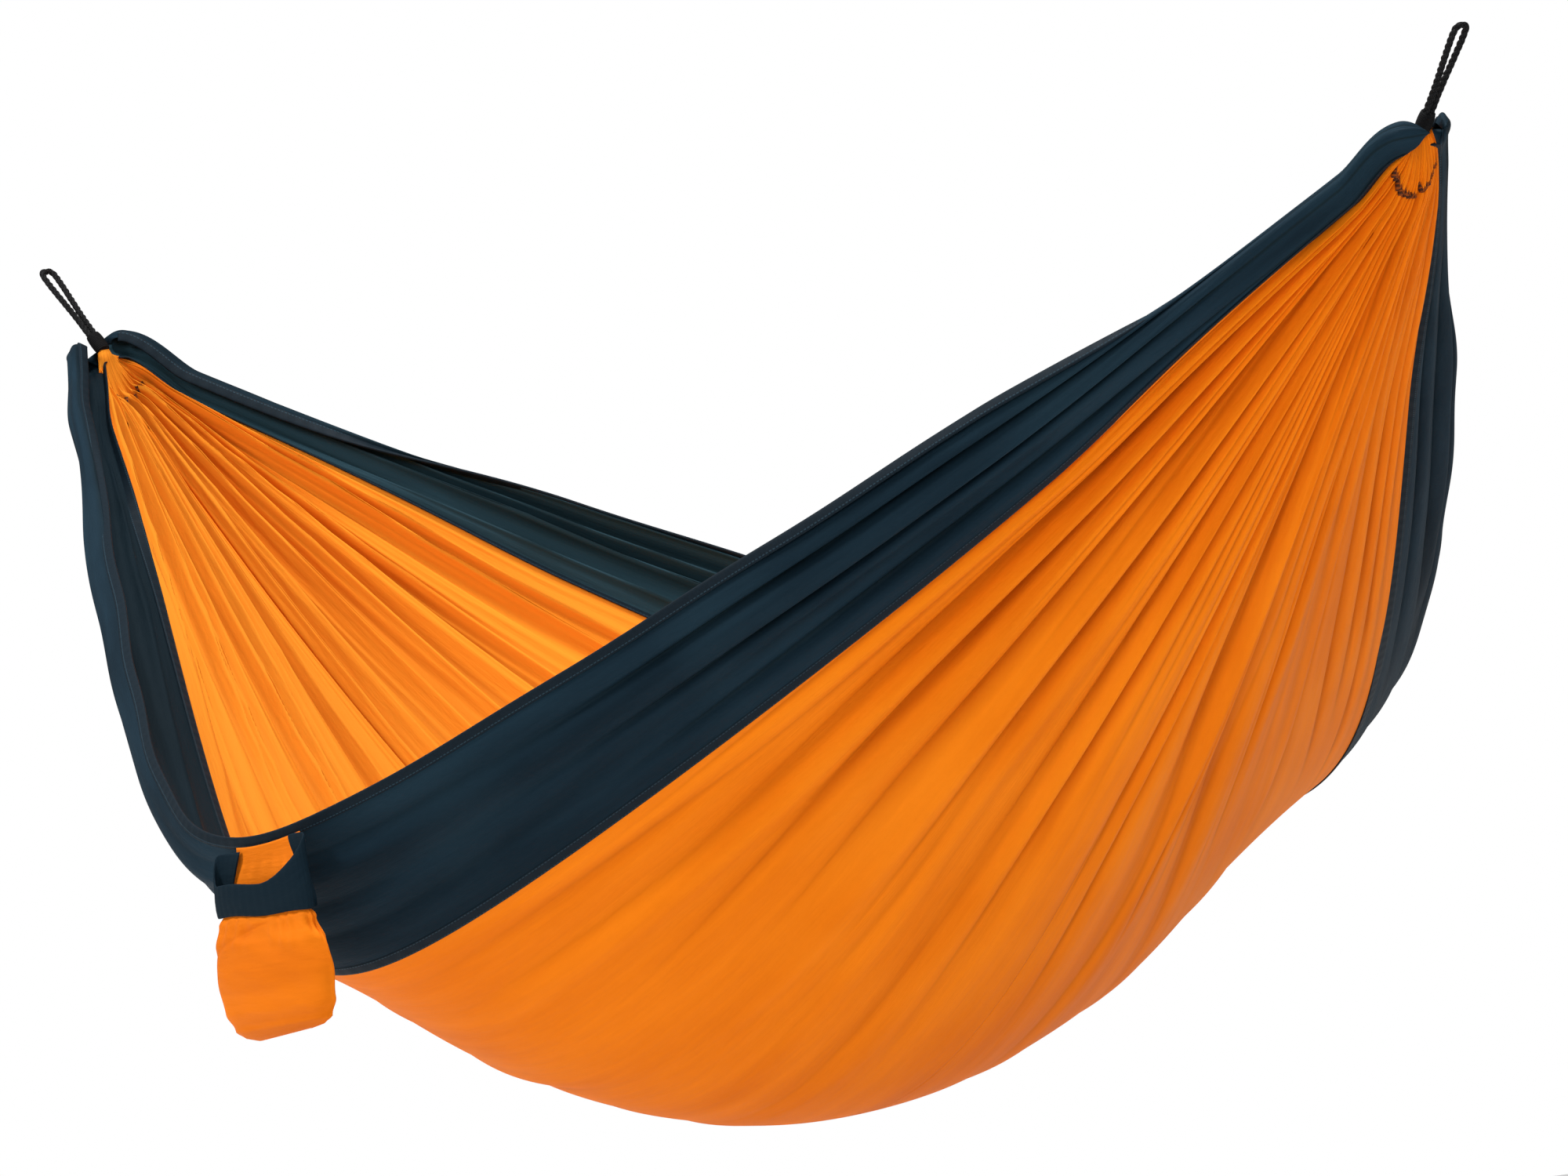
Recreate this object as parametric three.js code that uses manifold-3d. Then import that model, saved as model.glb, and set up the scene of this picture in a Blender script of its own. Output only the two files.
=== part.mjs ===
// Camping hammock: a bed of three sewn cloth panels gathered at both ends into cord loops,
// with its stuff sack sewn to the near rim.
// Millimetres, +X along the hammock, -Y towards the side with the sack, +Z up.
// The origin is halfway between the two loop eyes, on the straight line that joins them.
import * as THREE from 'three';
import Module from 'manifold-3d';

const wasm = await Module();
wasm.setup();

// ---- driving dimensions -------------------------------------------------------------------
const GATHER_X = 1100;              // half the distance between the two gathers
const LOOP_REACH = 98;              // throat to the bearing face inside the loop
const LOOP_TILT = THREE.MathUtils.degToRad(50);
const CORD_R = 3.6;                 // suspension cord radius
const LOOP_STEPS = 75;              // odd, so that a flat facet lies at the middle of the eye
const THROAT_Z = -LOOP_REACH * Math.sin(LOOP_TILT);

const BOTTOM_RADIUS = 939;          // lowest line of the bed below the line through the throats
const SEAM_RADIUS = 938;
const RIM_RADIUS = 926;
const BOTTOM_BEND = 0.444;          // how round each line is at mid length, smaller is sharper
const SEAM_BEND = 0.30;
const RIM_BEND = 0.30;
const SEAM_ANGLE = THREE.MathUtils.degToRad(40.8);
const RIM_ANGLE = THREE.MathUtils.degToRad(54);
const BELLY = 16;                   // how far the cloth bellies out between bottom and seam
const END_RADIUS = 22;              // radius that the lines keep at the gather

const PANEL_END_X = 1010;           // the open panels stop here and the gathered ends begin
const PANEL_STEPS = 40;
const CENTER_COLUMNS = 16;
const CLOTH_T = 4;
const SIDE_INSET = 7;               // the side panels lie this far inside the centre panel's edge
const SEAM_WIDTH = 14;
const TAPE_GAP = 2;                 // between the centre panel's facets and the seam tape
const TAPE_T = 2;
const HEM_WIDTH = 8;

const SACK_X = 60;
const SACK_OUT = 24;                // rim line to the middle of the sack
const SACK_HALF_W = 94;
const SACK_HALF_D = 25;
const CUFF_HALF_W = 77;
const CUFF_HALF_D = 21;
const CUFF_TOP = -45;               // heights below the rim line
const CUFF_BOTTOM = -82;
const SACK_BOTTOM = -210;
const SACK_WALL = 2.5;

const DRAWCORD_R = 1.25;
const LOCK_X = -90;                 // cord lock, from the middle of the sack
const LOCK_Y = 20;
const LOCK_Z = -112;
const BARREL_R = 6.5;
const BARREL_BACK = 8;              // behind the cords, along the barrel
const BARREL_FRONT = 6;
const BORE_R = 4.4;
const PLUNGER_R = 4.1;
const PLUNGER_OUT = 5.5;
const CORD_SLOT_R = 3.2;
const PLUNGER_TRAVEL = 2;

// ---- materials ----------------------------------------------------------------------------
function finish(color, roughness) {
  return new THREE.MeshStandardMaterial({ color, roughness, metalness: 0 });
}
const ORANGE = finish(0xe8791c, 0.5);
const NAVY = finish(0x1b2c3a, 0.5);
const BLACK_CORD = finish(0x141416, 0.7);
const PLASTIC = finish(0x17181a, 0.45);
const STEEL = new THREE.MeshStandardMaterial({ color: 0x9a9da0, roughness: 0.35, metalness: 1 });

// ---- solids -------------------------------------------------------------------------------
function geometryFrom(points, faces) {
  const geometry = new THREE.BufferGeometry();
  geometry.setAttribute('position', new THREE.Float32BufferAttribute(points.flat(), 3));
  geometry.setIndex(faces.flat());
  geometry.computeVertexNormals();
  return geometry;
}

// Closed solid through rings of the same number of points, capped at both ends.
function loftData(rings) {
  const points = rings.flat();
  const faces = [];
  const n = rings[0].length;
  for (let i = 0; i + 1 < rings.length; i += 1) {
    for (let j = 0; j < n; j += 1) {
      const a = i * n + j;
      const b = i * n + ((j + 1) % n);
      faces.push([a, b, b + n], [a, b + n, a + n]);
    }
  }
  [0, rings.length - 1].forEach((row) => {
    const centre = [0, 1, 2].map((k) => rings[row].reduce((sum, p) => sum + p[k], 0) / n);
    points.push(centre);
    for (let j = 0; j < n; j += 1) {
      const a = row * n + j;
      const b = row * n + ((j + 1) % n);
      faces.push(row === 0 ? [points.length - 1, b, a] : [points.length - 1, a, b]);
    }
  });
  return outward(points, faces);
}

function outward(points, faces) {
  let volume = 0;
  faces.forEach(([a, b, c]) => {
    const [p, q, r] = [points[a], points[b], points[c]];
    volume += p[0] * (q[1] * r[2] - q[2] * r[1])
      - p[1] * (q[0] * r[2] - q[2] * r[0])
      + p[2] * (q[0] * r[1] - q[1] * r[0]);
  });
  return { points, faces: volume < 0 ? faces.map(([a, b, c]) => [a, c, b]) : faces };
}

function loft(rings) {
  const { points, faces } = loftData(rings);
  return geometryFrom(points, faces);
}

function solid(rings) {
  const { points, faces } = loftData(rings);
  return new wasm.Manifold(new wasm.Mesh({
    numProp: 3,
    vertProperties: new Float32Array(points.flat()),
    triVerts: new Uint32Array(faces.flat()),
  }));
}

function geometryOf(manifold) {
  const mesh = manifold.getMesh();
  const geometry = new THREE.BufferGeometry();
  geometry.setAttribute('position', new THREE.Float32BufferAttribute(mesh.vertProperties, 3));
  geometry.setIndex(Array.from(mesh.triVerts));
  geometry.computeVertexNormals();
  return geometry;
}

function box(low, high) {
  const ring = (x) => [
    [x, low[1], low[2]], [x, high[1], low[2]], [x, high[1], high[2]], [x, low[1], high[2]],
  ];
  return solid([ring(low[0]), ring(high[0])]);
}

// Ring of a circle or ellipse across one axis: 'x', 'y' or 'z'.
function ellipseRing(axis, at, centre, ra, rb, count) {
  const ring = [];
  for (let k = 0; k < count; k += 1) {
    const angle = (2 * Math.PI * (k + 0.5)) / count;
    const a = centre[0] + ra * Math.cos(angle);
    const b = centre[1] + rb * Math.sin(angle);
    if (axis === 'x') ring.push([at, a, b]);
    if (axis === 'y') ring.push([b, at, a]);
    if (axis === 'z') ring.push([a, b, at]);
  }
  return ring;
}

// Tube of eight flat sides along a smooth path.
function tube(points, radius, steps) {
  const path = new THREE.CatmullRomCurve3(points.map((p) => new THREE.Vector3(...p)), false, 'centripetal');
  const outline = [];
  for (let k = 0; k < 8; k += 1) {
    const angle = (Math.PI * (2 * k + 1)) / 8;
    outline.push(new THREE.Vector2(radius * Math.cos(angle), radius * Math.sin(angle)));
  }
  const options = { steps, extrudePath: path, bevelEnabled: false };
  return new THREE.ExtrudeGeometry(new THREE.Shape(outline), options);
}

// ---- the shape of the bed -----------------------------------------------------------------
// 1 at mid length, 0 at the gathers, rounded by bend in the middle.
function sag(x, bend) {
  const u = x / GATHER_X;
  const reach = Math.hypot(1, bend) - bend;
  return 1 - (Math.hypot(u, bend) - bend) / reach;
}

function lineRadius(x, radius, bend) {
  return END_RADIUS + (radius - END_RADIUS) * sag(x, bend);
}

// Radius of the centre panel at a share of the way from the bottom line to a seam.
function centerRadius(x, share) {
  const bottom = lineRadius(x, BOTTOM_RADIUS, BOTTOM_BEND);
  const seam = lineRadius(x, SEAM_RADIUS, SEAM_BEND);
  const ease = share * share;
  return bottom + (seam - bottom) * ease + BELLY * sag(x, 1) * 4 * ease * (1 - ease);
}

function sideRadius(x, share) {
  const seam = lineRadius(x, SEAM_RADIUS, SEAM_BEND) - SIDE_INSET;
  const rim = lineRadius(x, RIM_RADIUS, RIM_BEND) - SIDE_INSET * (1 - sag(x, RIM_BEND));
  return seam + (rim - seam) * share;
}

function polar(x, radius, angle) {
  return [x, radius * Math.sin(angle), THROAT_Z - radius * Math.cos(angle)];
}

function stations(from, to, steps) {
  return Array.from({ length: steps + 1 }, (_, i) => from + ((to - from) * i) / steps);
}

function centerPanel() {
  const radius = (x, s) => centerRadius(x, Math.abs(2 * s - 1));
  return stripSolid(
    stations(-PANEL_END_X, PANEL_END_X, PANEL_STEPS),
    CENTER_COLUMNS,
    (x, s) => SEAM_ANGLE * (2 * s - 1),
    (x, s) => radius(x, s) - CLOTH_T / 2,
    (x, s) => radius(x, s) + CLOTH_T / 2,
  );
}

// Closed strip of cloth along the bed: at each station, columns of angle between an inner and an
// outer radius about the line through the throats.
function stripSolid(xs, columns, angleAt, innerAt, outerAt) {
  const points = [];
  const faces = [];
  const n = columns + 1;
  xs.forEach((x) => {
    for (let j = 0; j < n; j += 1) points.push(polar(x, innerAt(x, j / columns), angleAt(x, j / columns)));
    for (let j = 0; j < n; j += 1) points.push(polar(x, outerAt(x, j / columns), angleAt(x, j / columns)));
  });
  const at = (i, layer, j) => i * 2 * n + layer * n + j;
  const quad = (a, b, c, d) => faces.push([a, b, c], [a, c, d]);
  for (let i = 0; i + 1 < xs.length; i += 1) {
    for (let j = 0; j < columns; j += 1) {
      quad(at(i, 0, j), at(i, 0, j + 1), at(i + 1, 0, j + 1), at(i + 1, 0, j));
      quad(at(i, 1, j), at(i + 1, 1, j), at(i + 1, 1, j + 1), at(i, 1, j + 1));
    }
    quad(at(i, 0, 0), at(i + 1, 0, 0), at(i + 1, 1, 0), at(i, 1, 0));
    quad(at(i, 0, columns), at(i, 1, columns), at(i + 1, 1, columns), at(i + 1, 0, columns));
  }
  const last = xs.length - 1;
  for (let j = 0; j < columns; j += 1) {
    quad(at(0, 0, j), at(0, 1, j), at(0, 1, j + 1), at(0, 0, j + 1));
    quad(at(last, 0, j), at(last, 0, j + 1), at(last, 1, j + 1), at(last, 1, j));
  }
  const result = outward(points, faces);
  return geometryFrom(result.points, result.faces);
}

// side is -1 for the near side and 1 for the far side
function sidePanel(side) {
  const edgeGap = (x) => 1.5 / lineRadius(x, SEAM_RADIUS, SEAM_BEND);
  return stripSolid(
    stations(-PANEL_END_X, PANEL_END_X, PANEL_STEPS),
    4,
    (x, s) => side * (SEAM_ANGLE + edgeGap(x) + (RIM_ANGLE - SEAM_ANGLE - edgeGap(x)) * s),
    (x, s) => sideRadius(x, s) - CLOTH_T / 2,
    (x, s) => sideRadius(x, s) + CLOTH_T / 2,
  );
}

function rimHem(side) {
  const offset = (x, s) => (0.5 + HEM_WIDTH * s) / lineRadius(x, RIM_RADIUS, RIM_BEND);
  return stripSolid(
    stations(-PANEL_END_X, PANEL_END_X, PANEL_STEPS),
    1,
    (x, s) => side * (RIM_ANGLE + offset(x, s)),
    (x) => sideRadius(x, 1) - 3,
    (x) => sideRadius(x, 1) + 3,
  );
}

function seamTape(side) {
  return stripSolid(
    stations(-PANEL_END_X, PANEL_END_X, PANEL_STEPS),
    1,
    (x, s) => side * (SEAM_ANGLE - (SEAM_WIDTH * s) / lineRadius(x, SEAM_RADIUS, SEAM_BEND)),
    (x, s) => tapeRadius(x, s) + CLOTH_T / 2 + TAPE_GAP,
    (x, s) => tapeRadius(x, s) + CLOTH_T / 2 + TAPE_GAP + TAPE_T,
  );
}

// Follows the centre panel's own facets, so the tape lies on them evenly.
function tapeRadius(x, s) {
  const facet = 2 / CENTER_COLUMNS;
  const outer = centerRadius(x, 1);
  const inner = centerRadius(x, 1 - facet);
  const share = (SEAM_WIDTH * s) / lineRadius(x, SEAM_RADIUS, SEAM_BEND) / (SEAM_ANGLE * facet);
  return outer + (inner - outer) * Math.min(1, share);
}

// ---- gathered ends ------------------------------------------------------------------------
// end is -1 for the left gather and 1 for the right gather
function endChannel(end) {
  const start = PANEL_END_X + 1;
  const stop = 1084;
  const grow = (x) => (Math.abs(x) - start) / (stop - start);
  const narrow = (x) => 1 - 0.35 * grow(x);
  const radius = (x, s) => centerRadius(x, Math.abs(2 * s - 1));
  return stripSolid(
    stations(end * start, end * stop, 5),
    8,
    (x, s) => SEAM_ANGLE * (2 * s - 1) * narrow(x),
    (x, s) => radius(x, s) - CLOTH_T / 2 - 4 * grow(x),
    (x, s) => radius(x, s) + CLOTH_T / 2 + 4 * grow(x),
  );
}

// Rolled end of a side panel, from the open panel to its rounded tip beside the throat.
function gatheredEar(end, side) {
  const middle = (SEAM_ANGLE + RIM_ANGLE) / 2;
  const start = PANEL_END_X + 1;
  const rows = [
    [start, 0, 15, 9],
    [start + 25, 0.2, 15, 10],
    [start + 50, 0.55, 15, 12],
    [start + 72, 0.85, 15, 13],
    [start + 90, 1, 14, 13],
    [start + 99, 1, 10, 10],
    [start + 103, 1, 4, 4],
  ];
  return loft(rows.map(([x, pull, ry, rz]) => {
    const radius = sideRadius(x, 0.5) + 6;
    const y = (radius * Math.sin(middle) + 3) * (1 - pull) + 31 * pull;
    const z = -radius * Math.cos(middle) * (1 - pull) - 10 * pull;
    return ellipseRing('x', end * x, [side * y, THROAT_Z + z], ry, rz, 12);
  }));
}

// Point at a distance along the loop's own direction and across it.
function onLoop(end, along, across) {
  return [
    end * (GATHER_X + along * Math.cos(LOOP_TILT)),
    across,
    THROAT_Z + along * Math.sin(LOOP_TILT),
  ];
}

function cordLoop(end) {
  const apex = LOOP_REACH + CORD_R * Math.cos(Math.PI / 8);
  const half = [
    [6, 4.1], [14, 4.1], [24, 4.3], [36, 4.9], [50, 5.9], [64, 6.9], [78, 7.8], [88, 8.1],
    [apex - 6.5, 7.9], [apex - 3, 7], [apex - 0.9, 5.6], [apex, 4], [apex, 2], [apex, 0],
  ];
  const back = half.slice(0, -1).reverse().map(([along, across]) => [along, -across]);
  const points = half.concat(back).map(([along, across]) => onLoop(end, along, across));
  return tube(points, CORD_R, LOOP_STEPS);
}

// Thread whipping around the cord, under the loop's throat.
function whipping(end) {
  const rows = [[-34, 6], [-32, 8], [-24, 8.6], [-12, 8.6], [-4, 8], [-1.5, 6]];
  const up = [-end * Math.sin(LOOP_TILT), 0, Math.cos(LOOP_TILT)];
  return loft(rows.map(([along, radius]) => {
    const centre = onLoop(end, along, 0);
    return Array.from({ length: 14 }, (_, k) => {
      const angle = (2 * Math.PI * k) / 14;
      const lift = radius * Math.sin(angle);
      return [
        centre[0] + up[0] * lift,
        centre[1] + radius * Math.cos(angle),
        centre[2] + up[2] * lift,
      ];
    });
  }));
}

// ---- stuff sack ---------------------------------------------------------------------------
const RIM_Y = -(lineRadius(SACK_X, RIM_RADIUS, RIM_BEND)) * Math.sin(RIM_ANGLE);
const RIM_Z = THROAT_Z - lineRadius(SACK_X, RIM_RADIUS, RIM_BEND) * Math.cos(RIM_ANGLE);
const SACK_Y = RIM_Y - SACK_OUT;

function sackRing(z, halfW, halfD) {
  return ellipseRing('z', RIM_Z + z, [SACK_X, SACK_Y], halfW, halfD, 28);
}

function sackBody() {
  const rows = [
    [CUFF_BOTTOM - 0.5, 82, 21], [-104, 90, 24], [-140, SACK_HALF_W, SACK_HALF_D], [-170, 92, 25],
    [-190, 82, 22], [-203, 64, 16], [SACK_BOTTOM, 34, 7],
  ];
  const outer = solid(rows.map(([z, w, d]) => sackRing(z, w, d)));
  const hollow = rows.slice(0, -1).map(([z, w, d], i) => {
    const height = i === 0 ? z + 5 : z + (i > 3 ? 3 : 0);
    return sackRing(height, w - SACK_WALL, d - SACK_WALL);
  });
  return geometryOf(outer.subtract(solid(hollow)));
}

// Front and sides of the mouth; its back is the sack's back wall.
function sackCuff() {
  const outer = solid([sackRing(CUFF_BOTTOM, 80, 21), sackRing(CUFF_TOP, CUFF_HALF_W, CUFF_HALF_D)]);
  const inner = solid([sackRing(CUFF_BOTTOM - 2, 77, 18), sackRing(CUFF_TOP + 2, 74, 18)]);
  const behind = box(
    [SACK_X - 120, SACK_Y + 12, RIM_Z + CUFF_BOTTOM - 5],
    [SACK_X + 120, SACK_Y + 60, RIM_Z + CUFF_TOP + 5],
  );
  return geometryOf(outer.subtract(inner).subtract(behind));
}

// Back wall between the rim and the pouch, seen through the open mouth.
function sackBack() {
  const wall = (z, halfW) => {
    const y = SACK_Y + 12.4;
    return [
      [SACK_X - halfW, y, RIM_Z + z], [SACK_X + halfW, y, RIM_Z + z],
      [SACK_X + halfW, y + SACK_WALL, RIM_Z + z], [SACK_X - halfW, y + SACK_WALL, RIM_Z + z],
    ];
  };
  return loft([wall(CUFF_BOTTOM, 64), wall(CUFF_TOP, 62), wall(-3, 60)]);
}

// ---- drawcord and cord lock ---------------------------------------------------------------
function sackPoint(x, y, z) {
  return [SACK_X + x, SACK_Y + y, RIM_Z + z];
}

function drawcord(offset) {
  const x = LOCK_X + offset;
  return tube([
    sackPoint(-80, 8 + 1.1 * offset, -63),
    sackPoint(-83.5 + 0.5 * offset, 11.5 + 0.95 * offset, -64.5),
    sackPoint(-87 + 0.85 * offset, 16.5 + 0.6 * offset, -70),
    sackPoint(x, LOCK_Y, -81),
    sackPoint(x, LOCK_Y, -92),
    sackPoint(x, LOCK_Y, LOCK_Z),
    sackPoint(x, LOCK_Y, -132),
    sackPoint(x, LOCK_Y, -143),
  ], DRAWCORD_R, 30);
}

function drawcordKnot() {
  const rows = [[-143.6, 2.5], [-145.5, 4.2], [-149, 4.8], [-152.5, 4.2], [-154.5, 2.5]];
  const centre = [SACK_X + LOCK_X, SACK_Y + LOCK_Y];
  return loft(rows.map(([z, r]) => ellipseRing('z', RIM_Z + z, centre, r, r, 12)));
}

// The lock's barrel lies along Y and its button faces the panel.
function lockDisc(y, radius) {
  const [cx, cy, cz] = sackPoint(LOCK_X, LOCK_Y, LOCK_Z);
  return ellipseRing('y', cy + y, [cz, cx], radius, radius, 20);
}

// Way for the two cords through the lock, moved forward by `ahead`.
function cordSlot(ahead = 0) {
  const [cx, cy, cz] = sackPoint(LOCK_X, LOCK_Y, LOCK_Z);
  const ring = (z) => ellipseRing('z', z, [cx, cy + ahead], CORD_SLOT_R, CORD_SLOT_R, 16);
  return solid([ring(cz - 20), ring(cz + 20)]);
}

function lockBarrel() {
  const outer = solid([
    lockDisc(-BARREL_BACK, BARREL_R - 1), lockDisc(-BARREL_BACK + 1, BARREL_R),
    lockDisc(BARREL_FRONT - 1, BARREL_R), lockDisc(BARREL_FRONT, BARREL_R - 1),
  ]);
  const bore = solid([lockDisc(-BARREL_BACK + 1.5, BORE_R), lockDisc(BARREL_FRONT + 2, BORE_R)]);
  return geometryOf(outer.subtract(bore).subtract(cordSlot()));
}

function lockPlunger() {
  const stem = solid([
    lockDisc(-3.8, PLUNGER_R), lockDisc(BARREL_FRONT + PLUNGER_OUT - 1, PLUNGER_R),
    lockDisc(BARREL_FRONT + PLUNGER_OUT, PLUNGER_R - 1),
  ]);
  const steps = [0, PLUNGER_TRAVEL / 2, PLUNGER_TRAVEL];
  return geometryOf(steps.reduce((left, ahead) => left.subtract(cordSlot(ahead)), stem));
}

function lockSpring() {
  const [cx, cy, cz] = sackPoint(LOCK_X, LOCK_Y, LOCK_Z);
  const points = [];
  const turns = 2;
  for (let k = 0; k <= turns * 12; k += 1) {
    const angle = (2 * Math.PI * k) / 12;
    const y = -BARREL_BACK + 2.1 + (1.6 * k) / (turns * 12);
    points.push([cx + 3.2 * Math.cos(angle), cy + y, cz + 3.2 * Math.sin(angle)]);
  }
  return tube(points, 0.28, 48);
}

// ---- assembly -----------------------------------------------------------------------------
function add(group, name, geometry, material) {
  const mesh = new THREE.Mesh(geometry, material);
  mesh.name = name;
  group.add(mesh);
}

const hammock = new THREE.Group();
hammock.name = 'camping_hammock';
add(hammock, 'center_panel', centerPanel(), ORANGE);
[['near', -1], ['far', 1]].forEach(([name, side]) => {
  add(hammock, `${name}_side_panel`, sidePanel(side), NAVY);
  add(hammock, `${name}_rim_hem`, rimHem(side), NAVY);
  add(hammock, `${name}_seam`, seamTape(side), NAVY);
});
[['left', -1], ['right', 1]].forEach(([name, end]) => {
  add(hammock, `${name}_end_channel`, endChannel(end), ORANGE);
  add(hammock, `${name}_near_gather`, gatheredEar(end, -1), NAVY);
  add(hammock, `${name}_far_gather`, gatheredEar(end, 1), NAVY);
  add(hammock, `${name}_whipping`, whipping(end), BLACK_CORD);
  add(hammock, `${name}_loop`, cordLoop(end), BLACK_CORD);
});
add(hammock, 'sack_body', sackBody(), ORANGE);
add(hammock, 'sack_cuff', sackCuff(), NAVY);
add(hammock, 'sack_back_wall', sackBack(), ORANGE);
add(hammock, 'drawcord_left', drawcord(-1.7), BLACK_CORD);
add(hammock, 'drawcord_right', drawcord(1.7), BLACK_CORD);
add(hammock, 'drawcord_knot', drawcordKnot(), BLACK_CORD);
add(hammock, 'cord_lock_barrel', lockBarrel(), PLASTIC);
add(hammock, 'cord_lock_plunger', lockPlunger(), PLASTIC);
add(hammock, 'cord_lock_spring', lockSpring(), STEEL);

export default hammock;
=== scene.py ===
# Camping hammock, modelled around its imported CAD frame. Metres, +X along the hammock,
# -Y towards the long side with the stuff sack, +Z up, origin halfway between the loop eyes.
import math

import bmesh
import bpy
import numpy as np
from mathutils import Matrix, Vector


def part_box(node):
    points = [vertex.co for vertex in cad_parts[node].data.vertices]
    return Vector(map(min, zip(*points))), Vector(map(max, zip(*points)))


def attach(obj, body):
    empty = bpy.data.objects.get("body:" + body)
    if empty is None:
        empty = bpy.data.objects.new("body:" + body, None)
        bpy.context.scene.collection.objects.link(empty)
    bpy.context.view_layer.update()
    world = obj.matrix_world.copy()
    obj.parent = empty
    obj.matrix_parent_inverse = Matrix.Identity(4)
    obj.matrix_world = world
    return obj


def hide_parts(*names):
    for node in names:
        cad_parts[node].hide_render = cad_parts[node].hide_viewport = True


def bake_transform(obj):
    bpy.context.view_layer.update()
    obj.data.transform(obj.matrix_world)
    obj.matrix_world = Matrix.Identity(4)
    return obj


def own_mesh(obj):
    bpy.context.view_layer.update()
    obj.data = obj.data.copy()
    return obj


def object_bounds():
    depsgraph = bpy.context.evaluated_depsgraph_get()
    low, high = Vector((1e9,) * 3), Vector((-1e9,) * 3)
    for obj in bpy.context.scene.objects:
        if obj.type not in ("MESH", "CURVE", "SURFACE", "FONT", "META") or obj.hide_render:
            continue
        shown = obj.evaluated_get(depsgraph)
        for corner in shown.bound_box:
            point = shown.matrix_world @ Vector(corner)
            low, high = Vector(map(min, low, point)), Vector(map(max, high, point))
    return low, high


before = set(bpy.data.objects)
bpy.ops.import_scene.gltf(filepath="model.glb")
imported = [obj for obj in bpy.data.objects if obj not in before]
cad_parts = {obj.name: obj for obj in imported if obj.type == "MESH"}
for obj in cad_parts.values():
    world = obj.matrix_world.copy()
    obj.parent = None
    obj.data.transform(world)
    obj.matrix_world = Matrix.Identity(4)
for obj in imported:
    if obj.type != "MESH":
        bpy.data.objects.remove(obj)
CAD_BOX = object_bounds()


# ---- sizes repeated from the CAD ----
GATHER_X = 1.100
LOOP_REACH = 0.098
LOOP_TILT = math.radians(50)
CORD_D = 0.0072
THROAT_Z = -LOOP_REACH * math.sin(LOOP_TILT)

RIM_RADIUS, RIM_BEND = 0.926, 0.30
RIM_ANGLE = math.radians(54)
END_RADIUS = 0.022

SACK_X = 0.060
SACK_OUT = 0.024
DRAWCORD_D = 0.0025
LOCK_X, LOCK_Y, LOCK_Z = -0.090, 0.020, -0.112


# ---- lines of the hanging cloth, a little uneven from end to end ----
class Line:
    """A line along the cloth: radius and angle about the line through the throats.

    tilt and bow change the radius, and lean and curl the angle, with the place along the bed."""

    def __init__(self, radius, bend, degrees=0.0, tilt=0.0, bow=0.0, lean=0.0, curl=0.0):
        self.radius, self.bend, self.degrees = radius, bend, degrees
        self.tilt, self.bow, self.lean, self.curl = tilt, bow, lean, curl

    def radius_at(self, x):
        u = x / GATHER_X
        uneven = 1 + self.tilt * u + self.bow * u * u * (1 - np.abs(u))
        return line_radius(x, self.radius, self.bend) * uneven

    def angle_at(self, x):
        u = x / GATHER_X
        return np.radians(self.degrees + self.lean * u + self.curl * u * u)


NEAR_RIM = Line(0.927, 0.170, 54.2, 0.008, 0.0, 0.40, -0.33)
FAR_RIM = Line(0.9654, 0.2518, 52.08, -0.0317, 0.0013, 1.205, 0.70)
NEAR_SEAM = Line(0.9485, 0.1673, 43.09, -0.0142, 0.0172, -1.475, -9.41)
FAR_SEAM = Line(0.9665, 0.2942, 43.26, -0.1373, -0.0046, 1.427, -1.32)
BOTTOM = Line(0.9431, 0.3506, 0.0, -0.082, -0.0044)
BELLY, BELLY_TILT = -0.027, -0.057

GATHER_DEPTH, GATHER_COUNT, GATHER_FROM = 0.056, 7.5, 0.18
SIDE_DEPTH, SIDE_COUNT, SIDE_FROM, SIDE_TO = 0.042, 4.3, 0.20, 0.66

# ---- sizes of the cut cloth ----
CLOTH_LENGTH = 2.95
CENTER_WIDTH = 1.42
SIDE_WIDTH = 0.20
CLOTH_T = 0.0006
SEAM_W = CENTER_WIDTH / (CENTER_WIDTH + 2 * SIDE_WIDTH)  # across, 0 at the middle, 1 at the rim
HALF_WIDTH = CENTER_WIDTH / 2 + SIDE_WIDTH
SEAM_HALF_WIDTH, SEAM_HALF_THICKNESS = 0.0065, 0.0011
HEM_HALF_WIDTH, HEM_HALF_THICKNESS = 0.0060, 0.0017
CHANNEL_HALF_WIDTH, CHANNEL_HALF_THICKNESS = 0.0035, 0.0017
HEM_W = 0.996
CHANNEL_V, CHANNEL_REACH = 0.925, 0.80  # place along the cloth, and share of the seam's distance

ROWS = 380
CENTER_COLUMNS = 240
SIDE_COLUMNS = 72
SEWN_FROM = 7  # first row of cloth that the seams and hems reach


# ---- camera ----
def make_camera():
    """Long lens that looks along the bed from the near right, almost level and a little rolled."""
    azimuth = math.radians(49.73)
    elevation = math.radians(1.08)
    roll = math.radians(-8.88)
    distance, shift_right, shift_up = 13.675, 0.068, -0.3772
    back = Vector((math.sin(azimuth) * math.cos(elevation),
                   -math.cos(azimuth) * math.cos(elevation),
                   math.sin(elevation)))
    level_right = Vector((math.cos(azimuth), math.sin(azimuth), 0))
    level_up = back.cross(level_right)
    right = level_right * math.cos(roll) + level_up * math.sin(roll)
    up = back.cross(right)
    data = bpy.data.cameras.new("main_camera")
    data.sensor_width = 36
    data.lens = 298.4
    data.clip_end = 200
    camera = bpy.data.objects.new("main_camera", data)
    bpy.context.collection.objects.link(camera)
    centre = Vector((0, 0, THROAT_Z)) + back * distance + right * shift_right + up * shift_up
    rotation = Matrix((right, up, back)).transposed().to_4x4()
    camera.matrix_world = Matrix.Translation(centre) @ rotation
    bpy.context.scene.camera = camera


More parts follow.
